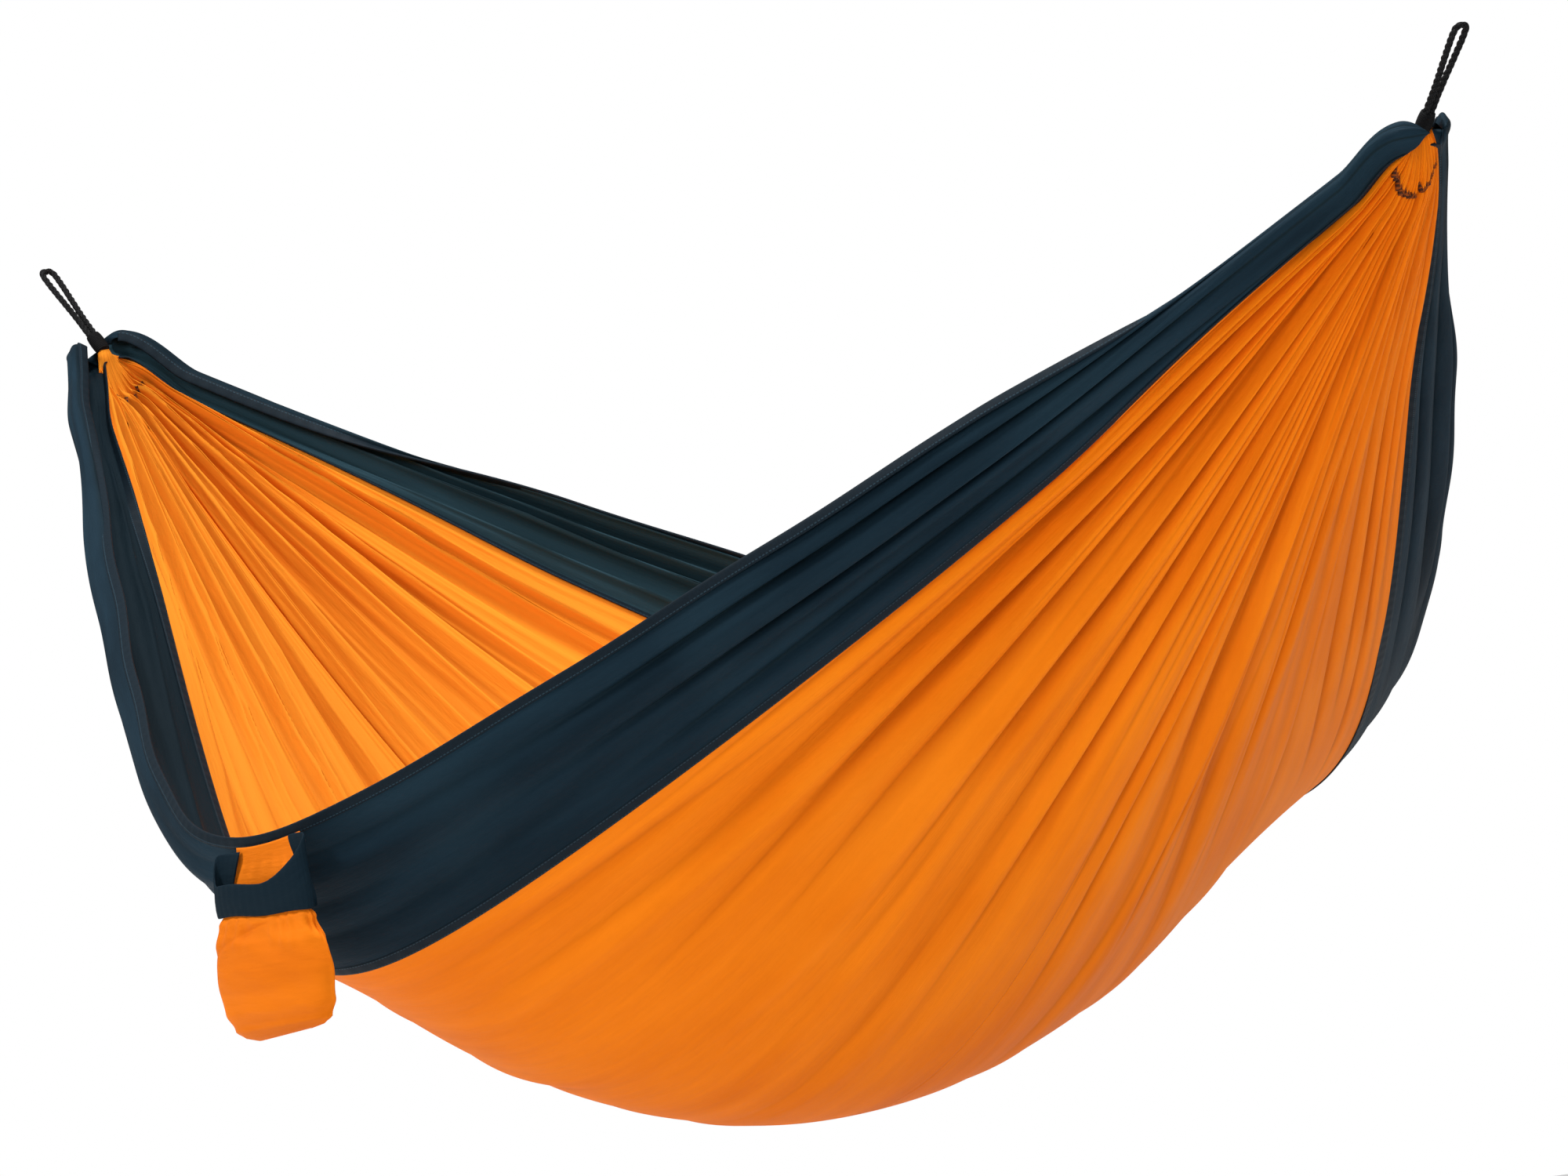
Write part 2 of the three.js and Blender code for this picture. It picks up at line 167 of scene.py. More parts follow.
# ---- small helpers ----
def smooth(value, low, high):
    share = np.clip((value - low) / (high - low), 0, 1)
    return share * share * (3 - 2 * share)


def mix(a, b, share):
    return a + (b - a) * share


def ripple(t, seed, low=0.6, high=2.6, count=5):
    """Smooth irregular wave of t, about -1 to 1, the same for the same seed."""
    rng = np.random.default_rng(seed)
    total = 0
    for rate, phase in zip(rng.uniform(low, high, count), rng.uniform(0, 2 * np.pi, count)):
        total = total + np.sin(2 * np.pi * rate * t + phase)
    return total / (0.7 * count)


def unit(vectors):
    return vectors / np.maximum(np.linalg.norm(vectors, axis=-1, keepdims=True), 1e-12)


def square_to(direction, vectors):
    """Unit vectors with no part along the given unit directions."""
    return unit(vectors - direction * np.sum(vectors * direction, axis=-1, keepdims=True))


def around(count, offset=0.0):
    """Angles of a section's points."""
    return 2 * np.pi * (np.arange(count) + offset) / count


def circle(sides, radius):
    angle = around(sides)
    return radius * np.cos(angle), radius * np.sin(angle)


def run_along(points):
    """Length of a path up to each of its points."""
    return np.concatenate([[0], np.cumsum(np.linalg.norm(np.diff(points, axis=0), axis=1))])


def section_rings(middle, across, lift, wide, high):
    """Rings of section points round a path; wide and high give the section's outline."""
    return middle[:, None] + across[:, None] * wide[None, :, None] + lift[:, None] * high[None, :, None]


def paired(along, beside):
    """Two cloth coordinates as one grid of pairs."""
    return np.stack(np.broadcast_arrays(along, beside), -1)


def mesh_object(name, points, faces, uv=None):
    mesh = bpy.data.meshes.new(name)
    mesh.from_pydata(np.asarray(points).reshape(-1, 3).tolist(), [], faces)
    mesh.polygons.foreach_set("use_smooth", np.ones(len(mesh.polygons), bool))
    if uv is not None:
        corner = np.empty(len(mesh.loops), int)
        mesh.loops.foreach_get("vertex_index", corner)
        layer = mesh.uv_layers.new(name="cloth")
        layer.data.foreach_set("uv", np.asarray(uv).reshape(-1, 2)[corner].ravel())
    mesh.update()
    obj = bpy.data.objects.new(name, mesh)
    bpy.context.collection.objects.link(obj)
    return obj


def grid_faces(rows, columns, offset=0, wrap=False, flip=False):
    i, j = np.meshgrid(np.arange(rows - 1), np.arange(columns if wrap else columns - 1), indexing="ij")
    k = (j + 1) % columns
    corners = [i * columns + j, i * columns + k, (i + 1) * columns + k, (i + 1) * columns + j]
    if flip:
        corners.reverse()
    return (np.stack(corners, -1).reshape(-1, 4) + offset).tolist()


def caps(rows, columns, offset=0):
    """Faces that close the first and the last ring of a tube."""
    first = [offset + j for j in range(columns)]
    return [first[::-1], [(rows - 1) * columns + j for j in first]]


def grid_normals(points):
    along = np.gradient(points, axis=0)
    across = np.gradient(points, axis=1)
    return unit(np.cross(along, across))


def thick_sheet(name, points, uv, thickness):
    """Closed thin solid round a grid of points, with cloth coordinates in metres."""
    rows, columns = points.shape[:2]
    normal = grid_normals(points)
    layers = [points + normal * thickness / 2, points - normal * thickness / 2]
    count = rows * columns
    faces = grid_faces(rows, columns) + grid_faces(rows, columns, count, flip=True)
    border = [j for j in range(columns)]
    border += [i * columns + columns - 1 for i in range(1, rows)]
    border += [(rows - 1) * columns + j for j in range(columns - 2, -1, -1)]
    border += [i * columns for i in range(rows - 2, 0, -1)]
    for a, b in zip(border, border[1:] + border[:1]):
        faces.append([b, a, a + count, b + count])
    return mesh_object(name, np.concatenate([p.reshape(-1, 3) for p in layers]), faces,
                       np.concatenate([uv.reshape(-1, 2)] * 2))


def swept(name, rings, closed=False, uv=None):
    """Solid through rings of points, capped at both ends unless the rings close on themselves."""
    rows, columns = rings.shape[:2]
    faces = grid_faces(rows, columns, wrap=True)
    if closed:
        last = (rows - 1) * columns
        faces += [[last + j, last + (j + 1) % columns, (j + 1) % columns, j] for j in range(columns)]
    else:
        faces += caps(rows, columns)
    obj = mesh_object(name, rings, faces, uv)
    fix_outward(obj)
    return obj


def fix_outward(obj):
    work = bmesh.new()
    work.from_mesh(obj.data)
    bmesh.ops.recalc_face_normals(work, faces=work.faces)
    work.to_mesh(obj.data)
    work.free()


def path_frames(points):
    """Tangent and two cross directions along a path, turning as little as they can."""
    points = np.asarray(points, float)
    tangent = unit(np.gradient(points, axis=0))
    start = np.array([0.0, 1.0, 0.0]) if abs(tangent[0][1]) < 0.9 else np.array([1.0, 0.0, 0.0])
    side = np.empty_like(points)
    for i, direction in enumerate(tangent):
        start = square_to(direction, start)
        side[i] = start
    return tangent, side, np.cross(tangent, side)


def smooth_path(points, step, samples=24):
    """Points every step along a centripetal curve through given points."""
    points = np.asarray(points, float)
    padded = np.vstack([2 * points[0] - points[1], points, 2 * points[-1] - points[-2]])
    dense = []

    def between(a, b, low, high, t):
        return a * (high - t) / (high - low) + b * (t - low) / (high - low)

    for i in range(1, len(padded) - 2):
        p = padded[i - 1:i + 3]
        k = np.concatenate([[0], np.cumsum(np.linalg.norm(np.diff(p, axis=0), axis=1) ** 0.5)])
        for t in np.linspace(k[1], k[2], samples, endpoint=False):
            first = [between(p[j], p[j + 1], k[j], k[j + 1], t) for j in range(3)]
            second = [between(first[j], first[j + 1], k[j], k[j + 2], t) for j in range(2)]
            dense.append(between(*second, k[1], k[2], t))
    dense = np.vstack([dense, points[-1:]])
    run = run_along(dense)
    at = np.linspace(0, run[-1], max(2, int(round(run[-1] / step)) + 1))
    return np.stack([np.interp(at, run, dense[:, k]) for k in range(3)], 1)


def twisted_cord(name, points, diameter, pitch, strands=3, sides=8):
    """Rope of strands wound round a path, one closed tube for each strand."""
    _, side, lift = path_frames(points)
    run = run_along(points)
    strand_r = diameter * 0.27
    orbit = diameter / 2 - strand_r
    vertices, faces, uvs = [], [], []
    for k in range(strands):
        turn = 2 * np.pi * (k / strands + run / pitch)
        centre = points + orbit * (side * np.cos(turn)[:, None] + lift * np.sin(turn)[:, None])
        _, across, above = path_frames(centre)
        rings = section_rings(centre, across, above, *circle(sides, strand_r))
        offset = len(vertices) * len(points) * sides
        faces += grid_faces(len(points), sides, offset, wrap=True) + caps(len(points), sides, offset)
        vertices.append(rings.reshape(-1, 3))
        uvs.append(paired(run[:, None], around(sides)[None] * strand_r).reshape(-1, 2))
    obj = mesh_object(name, np.concatenate(vertices), faces, np.concatenate(uvs))
    fix_outward(obj)
    return obj


# ---- materials ----
class Nodes:
    """Short calls that add and join the nodes of one material."""

    def __init__(self, name):
        self.material = bpy.data.materials.new(name)
        self.material.use_nodes = True
        self.tree = self.material.node_tree
        self.shader = self.tree.nodes["Principled BSDF"]

    def add(self, kind, inputs=(), **settings):
        node = self.tree.nodes.new(kind)
        for key, value in settings.items():
            setattr(node, key, value)
        for key, value in dict(inputs).items():
            self.put(node, key, value)
        return node

    def put(self, node, key, value):
        if isinstance(value, bpy.types.NodeSocket):
            self.tree.links.new(value, node.inputs[key])
        else:
            node.inputs[key].default_value = value

    def math(self, operation, a, b=0.0):
        return self.add("ShaderNodeMath", {0: a, 1: b}, operation=operation).outputs[0]

    def times(self, a, b):
        return self.math("MULTIPLY", a, b)

    def blend(self, share, a, b):
        return self.add("ShaderNodeMix", {0: share, 6: a, 7: b}, data_type="RGBA").outputs[2]

    def multiply(self, a, b):
        node = self.add("ShaderNodeMix", {0: 1.0, 6: a, 7: b}, data_type="RGBA", blend_type="MULTIPLY")
        return node.outputs[2]

    def attribute(self, name):
        return self.add("ShaderNodeAttribute", attribute_name=name).outputs["Fac"]

    def cloth_uv(self):
        uv = self.add("ShaderNodeUVMap", uv_map="cloth").outputs[0]
        return self.add("ShaderNodeSeparateXYZ", {0: uv}).outputs

    def noise(self, scale, detail=3.0, vector=None, roughness=0.5):
        if vector is None:
            vector = self.add("ShaderNodeTexCoord").outputs["Object"]
        inputs = {"Scale": scale, "Detail": detail, "Roughness": roughness, "Vector": vector}
        return self.add("ShaderNodeTexNoise", inputs).outputs[0]

    def ramp(self, value, low, high):
        return self.add("ShaderNodeMapRange", {0: value, 1: low, 2: high}, clamp=True).outputs[0]

    def bump(self, height, strength, distance, normal=None):
        inputs = {"Height": height, "Strength": strength, "Distance": distance}
        if normal is not None:
            inputs["Normal"] = normal
        return self.add("ShaderNodeBump", inputs).outputs[0]

    def thread_wave(self, value, pitch):
        return self.math("SINE", self.times(value, 2 * math.pi / pitch))


# Pitches of the fine patterns, in metres.
THREAD_PITCH, STITCH_LENGTH, PUCKER_LENGTH = 0.0011, 0.0042, 0.019
ROPE_FIBRE, THREAD_FIBRE, DRAWCORD_FIBRE = 0.0024, 0.0009, 0.0016


def rgba(color):
    return (*color, 1.0)


def nylon(name, base, dark, light, inside_painted_shading, seed, gloss, tint):
    """Thin woven nylon: fine weave, soft crinkles along the threads, slight colour drift.

    Valleys of folds are multiplied by a tone of painted shade where the painted_fold_shade mask is high,
    and the inner face is mixed towards a tone of painted light and shade."""
    n = Nodes(name)
    u, v, _ = n.cloth_uv()
    weave = n.times(n.thread_wave(u, THREAD_PITCH), n.thread_wave(v, THREAD_PITCH))
    along = n.add("ShaderNodeCombineXYZ", {0: n.times(u, 1.6), 1: n.times(v, 9.0),
                                           2: float(seed)}).outputs[0]
    streaks = n.noise(2.2, 4.0, along, 0.55)
    crinkle = n.noise(6.0, 5.0, along, 0.62)
    drift = n.noise(3.0, 2.0)
    tone = n.blend(n.ramp(streaks, 0.35, 0.68), rgba(dark), rgba(base))
    tone = n.blend(n.times(n.ramp(drift, 0.5, 0.75), 0.55), tone, rgba(light))
    # The inner face is mixed towards its tone of painted light and shade.
    tone = n.blend(n.attribute("inner"), tone, n.blend(0.75, tone, rgba(inside_painted_shading)))
    # Painted shade: the valleys of the folds are darkened by a fixed tone.
    shaded = n.multiply(tone, rgba(VALLEY_PAINTED_SHADE))
    n.put(n.shader, "Base Color", n.blend(n.attribute("painted_fold_shade"), tone, shaded))
    n.put(n.shader, "Roughness", n.math("ADD", n.times(crinkle, 0.16), 0.58))
    n.shader.inputs["Specular IOR Level"].default_value = gloss
    n.shader.inputs["Specular Tint"].default_value = rgba(tint)
    first = n.bump(crinkle, 0.35, 0.006)
    n.put(n.shader, "Normal", n.bump(weave, 0.12, 0.0002, first))
    return n.material


def stitched(name, base, thread, half_width, rows):
    """Folded and sewn edge: cloth with stitch rows that run along it."""
    n = Nodes(name)
    u, v, _ = n.cloth_uv()
    dash = n.ramp(n.thread_wave(u, STITCH_LENGTH), -0.55, -0.2)
    lines = 0.0
    for row in rows:
        gap = n.math("ABSOLUTE", n.math("SUBTRACT", v, row * half_width))
        line = n.ramp(gap, 0.0007, 0.0004)
        lines = n.math("MAXIMUM", line, lines)
    stitch = n.times(lines, dash)
    grain = n.noise(420.0, 2.0)
    cloth = n.blend(n.ramp(grain, 0.3, 0.7), rgba([c * 0.72 for c in base]), rgba(base))
    n.put(n.shader, "Base Color", n.blend(stitch, cloth, rgba(thread)))
    n.shader.inputs["Roughness"].default_value = 0.62
    n.shader.inputs["Specular IOR Level"].default_value = 0.12
    pucker = n.times(n.thread_wave(u, PUCKER_LENGTH), 0.5)
    relief = n.math("ADD", n.times(stitch, 0.8), pucker)
    first = n.bump(relief, 0.4, 0.0008)
    n.put(n.shader, "Normal", n.bump(grain, 0.2, 0.0003, first))
    return n.material


def braid(name, color, light, pitch):
    """Fibres of a cord: fine slanted filaments, paler on their crests in patches of fuzz noise."""
    n = Nodes(name)
    u, v, _ = n.cloth_uv()
    slant = n.thread_wave(n.math("ADD", u, n.times(v, 0.8)), pitch)
    fuzz = n.noise(900.0, 3.0)
    crest = n.times(n.ramp(slant, -0.2, 0.9), n.ramp(fuzz, 0.35, 0.65))
    n.put(n.shader, "Base Color", n.blend(crest, rgba(color), rgba(light)))
    n.shader.inputs["Roughness"].default_value = 0.75
    n.shader.inputs["Specular IOR Level"].default_value = 0.15
    first = n.bump(slant, 0.7, 0.0005)
    n.put(n.shader, "Normal", n.bump(fuzz, 0.3, 0.0003, first))
    return n.material


def moulded_plastic(name, color):
    n = Nodes(name)
    grain = n.noise(1500.0, 2.0)
    wear = n.ramp(n.noise(160.0, 4.0), 0.58, 0.72)
    n.put(n.shader, "Base Color", n.blend(wear, rgba(color), rgba([c * 2.2 + 0.01 for c in color])))
    n.put(n.shader, "Roughness", n.math("ADD", n.times(grain, 0.2), 0.35))
    n.put(n.shader, "Normal", n.bump(grain, 0.15, 0.0001))
    return n.material


def spring_steel(name):
    n = Nodes(name)
    drawn = n.noise(1200.0, 2.0)
    n.put(n.shader, "Base Color", n.blend(drawn, rgba((0.42, 0.43, 0.45)), rgba((0.62, 0.63, 0.65))))
    n.shader.inputs["Metallic"].default_value = 1.0
    n.put(n.shader, "Roughness", n.math("ADD", n.times(drawn, 0.2), 0.22))
    return n.material


ORANGE = (0.88, 0.215, 0.006)
ORANGE_DARK = (0.77, 0.170, 0.004)
ORANGE_LIGHT = (0.93, 0.260, 0.012)
# Tones of the inner faces: painted light on the orange bed and the far side panel, painted shade on the
# near side panel and the cuff.
ORANGE_INSIDE_PAINTED_LIGHT = (0.72, 0.255, 0.022)
ORANGE_SHINE = (1.0, 0.50, 0.12)
NEAR_INSIDE_PAINTED_SHADE = (0.0018, 0.0055, 0.0080)
FAR_INSIDE_PAINTED_LIGHT = (0.0170, 0.0440, 0.0580)
NAVY_SHINE = (0.55, 0.80, 1.0)
# Painted shade: the tone that the valleys of folds are multiplied by.
VALLEY_PAINTED_SHADE = (0.66, 0.56, 0.45)
# The sack's orange is a darker copy of the bed's orange: painted shade against the lamps that face the
# sack.
SHADED_SACK_ORANGE = (0.76, 0.175, 0.006)
SHADED_SACK_DARK = (0.62, 0.130, 0.004)
SHADED_SACK_LIGHT = (0.82, 0.215, 0.010)
NAVY = (0.0080, 0.0220, 0.0350)
NAVY_DARK = (0.0035, 0.0105, 0.0175)
NAVY_LIGHT = (0.0150, 0.0370, 0.0540)
# The cuff's navy is a darker copy of the side panels' navy: painted shade.
SHADED_CUFF_NAVY = (0.0052, 0.0125, 0.0190)
BLACK = (0.0045, 0.0045, 0.0050)
BLACK_LIGHT = (0.018, 0.018, 0.019)
THREAD = (0.004, 0.004, 0.0045)
THREAD_LIGHT = (0.014, 0.014, 0.015)
LOCK_BLACK = (0.009, 0.0095, 0.010)
# The channel seams are real sewn hems; their dark orange is painted shade of the pleats that bunch at them.
SHADED_CHANNEL_ORANGE = (0.30, 0.06, 0.004)
CHANNEL_THREAD = (0.012, 0.010, 0.009)


def make_materials():
    cloth = {
        # near_navy and far_navy are one navy cloth; only their inner faces differ, painted shade on the
        # near side and painted light on the far side.
        "orange": (ORANGE, ORANGE_DARK, ORANGE_LIGHT, ORANGE_INSIDE_PAINTED_LIGHT, 3, 0.12, ORANGE_SHINE),
        "near_navy": (NAVY, NAVY_DARK, NAVY_LIGHT, NEAR_INSIDE_PAINTED_SHADE, 8, 0.11, NAVY_SHINE),
        # The cuff is painted darker as shade.
        "cuff_navy_shaded": (SHADED_CUFF_NAVY, NAVY_DARK, SHADED_CUFF_NAVY, NEAR_INSIDE_PAINTED_SHADE, 10, 0.08, NAVY_SHINE),
        "far_navy": (NAVY, NAVY_DARK, NAVY_LIGHT, FAR_INSIDE_PAINTED_LIGHT, 9, 0.11, NAVY_SHINE),
        # The sack's cloth is painted darker as shade.
        "sack": (SHADED_SACK_ORANGE, SHADED_SACK_DARK, SHADED_SACK_LIGHT, SHADED_SACK_ORANGE, 5, 0.12, ORANGE_SHINE),
    }
    materials = {key: nylon(f"{key}_nylon", *look) for key, look in cloth.items()}
    channel_rows = (-0.6, -0.2, 0.2, 0.6)
    return materials | {
        # Felled seams and rim hems are real sewn strips; their darker navy also paints the shade lines that
        # run along them.
        "seam": stitched("shaded_navy_seam", NAVY_DARK, NAVY_LIGHT, SEAM_HALF_WIDTH, (-0.72, 0.72)),
        "hem": stitched("shaded_navy_hem", NAVY_DARK, NAVY_LIGHT, HEM_HALF_WIDTH, (-0.6,)),
        # Channel seam: its dark orange is painted shade.
        "channel": stitched("shaded_orange_hem", SHADED_CHANNEL_ORANGE, CHANNEL_THREAD, CHANNEL_HALF_WIDTH, channel_rows),
        "rope": braid("black_cord", BLACK, BLACK_LIGHT, ROPE_FIBRE),
        "thread": braid("whipping_thread", THREAD, THREAD_LIGHT, THREAD_FIBRE),
        "draw": braid("drawcord", BLACK, BLACK_LIGHT, DRAWCORD_FIBRE),
        "plastic": moulded_plastic("lock_plastic", LOCK_BLACK),
        "steel": spring_steel("spring_wire"),
    }


def dress(obj, material):
    """Gives a new piece its material."""
    obj.data.materials.clear()
    obj.data.materials.append(material)


# ---- the cloth of the bed ----
def sag(x, bend):
    u = x / GATHER_X
    reach = math.hypot(1, bend) - bend
    return 1 - (np.hypot(u, bend) - bend) / reach


def line_radius(x, radius, bend):
    return END_RADIUS + (radius - END_RADIUS) * sag(x, bend)


def center_share(w):
    """0 in the middle of the bed and 1 from the seam outwards."""
    return np.clip(np.abs(w) / SEAM_W, 0, 1)


def side_share(w):
    """0 up to the seam and 1 at the rim."""
    return np.clip((np.abs(w) - SEAM_W) / (1 - SEAM_W), 0, 1)


def base_section(x, w):
    """Radius and angle about the line through the throats, and the arc from the middle to a seam."""
    share, out = center_share(w), side_share(w)
    near = w < 0
    seam = np.where(near, NEAR_SEAM.radius_at(x), FAR_SEAM.radius_at(x))
    seam_angle = np.where(near, NEAR_SEAM.angle_at(x), FAR_SEAM.angle_at(x))
    rim = np.where(near, NEAR_RIM.radius_at(x), FAR_RIM.radius_at(x))
    rim_angle = np.where(near, NEAR_RIM.angle_at(x), FAR_RIM.angle_at(x))
    ease = share ** 2
    belly = (BELLY + BELLY_TILT * x / GATHER_X) * sag(x, 1.0) * 4 * ease * (1 - ease)
    radius = np.where(out > 0, mix(seam, rim, out), mix(BOTTOM.radius_at(x), seam, ease) + belly)
    return radius, mix(seam_angle * share, rim_angle, out), seam_angle * radius


def creases(x, across, room, seed, count, depth, breadth, starts, wander):
    """Creases that run out of each gather: a sharp valley with a soft ridge beside it.

    across runs from -1 to 1 over a width of 2 * room; starts gives how far out they begin."""
    height = np.zeros(np.broadcast(x, across).shape)
    spacing = 2.0 / count
    for end in (-1, 1):
        rng = np.random.default_rng(seed + end)
        for k in range(count):
            place = -1 + spacing * (k + 0.5 + rng.uniform(-0.40, 0.40))
            start = rng.uniform(*starts)
            strength = rng.uniform(0.40, 1.0)
            lean = rng.choice([-1.0, 1.0, 1.0])
            line = place + wander * ripple(x / GATHER_X, seed * 31 + k) * (1 - np.abs(x) / GATHER_X)
            width = np.minimum(breadth, 0.30 * spacing * room)
            deep = np.minimum(depth, 0.45 * spacing * room) * strength
            deep = deep * smooth(end * x, start, start + 0.45)
            gap = lean * (across - line) * room / width
            height -= deep * np.exp(-np.abs(gap) ** 1.2 * np.where(gap > 0, 1.6, 0.8))
            height += 0.75 * deep * np.exp(-((gap - 1.7) / 1.2) ** 2)
    return height


def pleats(x, across, count, seed, uneven):
    """Rounded ridges with sharp valleys between them, about -0.6 to 0.4, count per unit across."""
    end = np.where(x > 0, 1.0, -1.0)
    drift = uneven * ripple(across * 1.9 + end, seed)
    drift = drift + 0.20 * ripple(np.abs(x) * 0.8 + 0.2 * across, seed + 1)
    phase = count * across + drift
    ridge = np.abs(np.sin(np.pi * phase)) ** 0.75
    strength = 0.70 + 0.30 * ripple(phase * 0.37 + end, seed + 2)
    return (ridge - 0.62) * strength


def center_folds(x, w, room):
    """Height of the folds in the middle panel: deep pleats at each gather that run out in creases."""
    a = w / SEAM_W
    edge = 1 - np.exp(-((1 - np.abs(a)) / 0.05) ** 2)
    start = GATHER_FROM + 0.13 * ripple(a * 4.1 + 2 * np.sign(x), 17)
    reach = smooth(np.abs(x), start, start + 0.34)
    fade = smooth(1.10 - np.abs(x), 0.0, 0.03)
    deep = GATHER_DEPTH * (0.40 + 0.60 * smooth(np.abs(x), 0.35, 0.90)) * reach * fade
    deep = deep * pleats(x, a, GATHER_COUNT, 91, 0.95)
    second = smooth(np.abs(x), 0.50, 0.88) * fade * 0.010 * pleats(x, a, 2.6 * GATHER_COUNT, 191, 0.9)
    soft = creases(x, a, room, 45, 18, 0.011, 0.017, (-0.10, 0.45), 0.04)
    swell = 0.0040 * ripple(a * 1.3 + 0.2 * x, 11) * ripple(x * 0.9 + 0.3 * a, 12)
    return (deep + second + soft + swell) * edge


# Long folds of a side panel: place and half width as shares of its width, and depth.
LONG_FOLDS = [(0.26, 0.08, 0.0080), (0.50, 0.10, 0.0110), (0.74, 0.07, 0.0075)]


def side_folds(x, w):
    """Long folds that run the length of a side panel, and pleats towards the gathers."""
    out = side_share(w)
    seed = np.where(w < 0, 1.0, 2.0)
    held = np.sin(np.pi * out) ** 0.6
    height = 0
    for k, (place, width, depth) in enumerate(LONG_FOLDS):
        drift = place + 0.09 * ripple(x * 0.45 + 3.7 * seed, 40 + k)
        strength = 0.35 + 0.65 * smooth(ripple(x * 0.5 + 1.9 * seed, 60 + k), -0.6, 0.5)
        gap = (out - drift) / width
        height = height - depth * strength * np.exp(-np.abs(gap) ** 1.3)
        height = height + 0.5 * depth * strength * np.exp(-((gap + 1.8) / 1.4) ** 2)
    near_end = smooth(np.abs(x), SIDE_FROM, SIDE_TO)
    height = height * (1 - 0.7 * near_end)
    depth = np.where(w < 0, SIDE_DEPTH, 1.45 * SIDE_DEPTH)
    height = height + depth * near_end * pleats(x, out + 0.5 * seed, SIDE_COUNT, 71, 0.35)
    return height * held


def side_belly(x, w):
    """How far a side panel bellies outwards between its seam and its hemmed rim."""
    out = side_share(w)
    size = np.where(w < 0, mix(0.050, 0.016, smooth(x, -0.45, 0.25)), 0.018)
    behind_sack = np.exp(-((x - SACK_X) / 0.12) ** 2)
    size = np.where(w < 0, size * (1 - 0.8 * behind_sack), size)
    return size * np.sin(np.pi * out ** 1.35) * smooth(1.06 - np.abs(x), 0, 0.30)


# Rolled band that each side panel becomes at its gather, by end and side: how steeply it
# stands, how far below the throat its middle ends, and its size against the usual one.
BAND_TILT = {(-1, -1): 24.0, (-1, 1): 60.0, (1, -1): 60.0, (1, 1): 62.0}
BAND_FALL = {(-1, -1): 0.0275, (-1, 1): 0.0135, (1, -1): 0.0220, (1, 1): 0.0195}
BAND_SIZE = {(-1, -1): 1.55, (-1, 1): 1.0, (1, -1): 1.0, (1, 1): 1.0}
BAND_HALF_WIDTH, BAND_HALF_DEPTH, BAND_TURN = 0.0165, 0.0105, 255.0
TIP_LENGTH, TIP_Z = 0.018, -0.018


def by_corner(table, x, w):
    """Value of a table kept per end and side, at each point."""
    left = np.where(w < 0, table[-1, -1], table[-1, 1])
    right = np.where(w < 0, table[1, -1], table[1, 1])
    return np.where(x < 0, left, right)


def band_middle(x, w):
    """Middle of the rolled band, halfway between the seam and the rim."""
    near = w < 0
    radius = np.where(near, NEAR_SEAM.radius_at(x) + NEAR_RIM.radius_at(x),
                      FAR_SEAM.radius_at(x) + FAR_RIM.radius_at(x)) / 2
    angle = np.where(near, NEAR_SEAM.angle_at(x) + NEAR_RIM.angle_at(x),
                     FAR_SEAM.angle_at(x) + FAR_RIM.angle_at(x)) / 2
    bulge = np.where(near & (x < 0), 0.016, 0.0) * smooth(1.09 - np.abs(x), 0, 0.12)
    ending = smooth(np.abs(x), 1.03, 1.10)
    y = radius * np.sin(angle) + bulge
    z = mix(-radius * np.cos(angle), -by_corner(BAND_FALL, x, w), ending)
    return y, z


def band_point(x, w, out):
    """Point of the rolled band; out runs from 0 at the seam to 1 at the rim."""
    middle_y, middle_z = band_middle(x, w)
    wide = by_corner(BAND_SIZE, x, w) * (1 + 0.35 * smooth(1.08 - np.abs(x), 0, 0.22))
    tilt = np.radians(by_corner(BAND_TILT, x, w))
    turn = np.radians(BAND_TURN) * out
    wrinkle = wide * (1 + 0.07 * np.sin(4.6 * turn + 4 * x) * np.minimum(1, 6 * out))
    along = -BAND_HALF_WIDTH * wrinkle * np.cos(turn)
    through = BAND_HALF_DEPTH * wrinkle * np.sin(turn)
    y = middle_y + along * np.cos(tilt) + through * np.sin(tilt)
    z = middle_z + along * np.sin(tilt) - through * np.cos(tilt)
    return y, z


def fold_height(x, w):
    """Height of the folds and creases above the smooth shape of the cloth."""
    room = base_section(x, w)[2]
    return np.where(np.abs(w) > SEAM_W, side_folds(x, w), center_folds(x, w, room))


def end_of_cloth(w):
    """How far along the bed the cloth reaches; the middle of each panel reaches out a little."""
    return mix(1.080, 1.094, center_share(w) ** 2) + 0.014 * np.sin(np.pi * side_share(w))


def open_points(x, w, end_x):
    """Height and outward place of the folded cloth, away from the rolled ends of its sides."""
    a, out = center_share(w), side_share(w)
    radius, angle, _ = base_section(x, w)
    waves = 0.0035 * ripple(x * 2.6, 21) * out ** 2
    calm = smooth(end_x + 0.01 - np.abs(x), 0.0, 0.05) * np.minimum(1, radius / 0.10)
    drop = 0.010 * np.exp(-((np.abs(x) - 1.06) / 0.028) ** 2) * (1 - a ** 2)
    radius = radius + (fold_height(x, w) + waves) * calm + drop
    return radius * np.sin(angle) + side_belly(x, w), -radius * np.cos(angle)


def roll_ends(x, w, y, z):
    """Turns each side panel into its rolled band near a gather, and draws the cloth beside it along."""
    a, out = center_share(w), side_share(w)
    band_y, band_z = band_point(x, w, out)
    edge_y, edge_z = band_point(x, w, np.zeros_like(x))
    seam_radius, seam_angle, _ = base_section(x, np.where(w < 0, -SEAM_W, SEAM_W))
    pull_y = edge_y - seam_radius * np.sin(seam_angle)
    pull_z = edge_z + seam_radius * np.cos(seam_angle)
    bunched = smooth(np.abs(x), 0.72, 1.00)
    y = np.where(out > 0, mix(y, band_y, bunched), y + bunched * a ** 3 * pull_y)
    z = np.where(out > 0, mix(z, band_z, bunched), z + bunched * a ** 3 * pull_z)
    return y, z


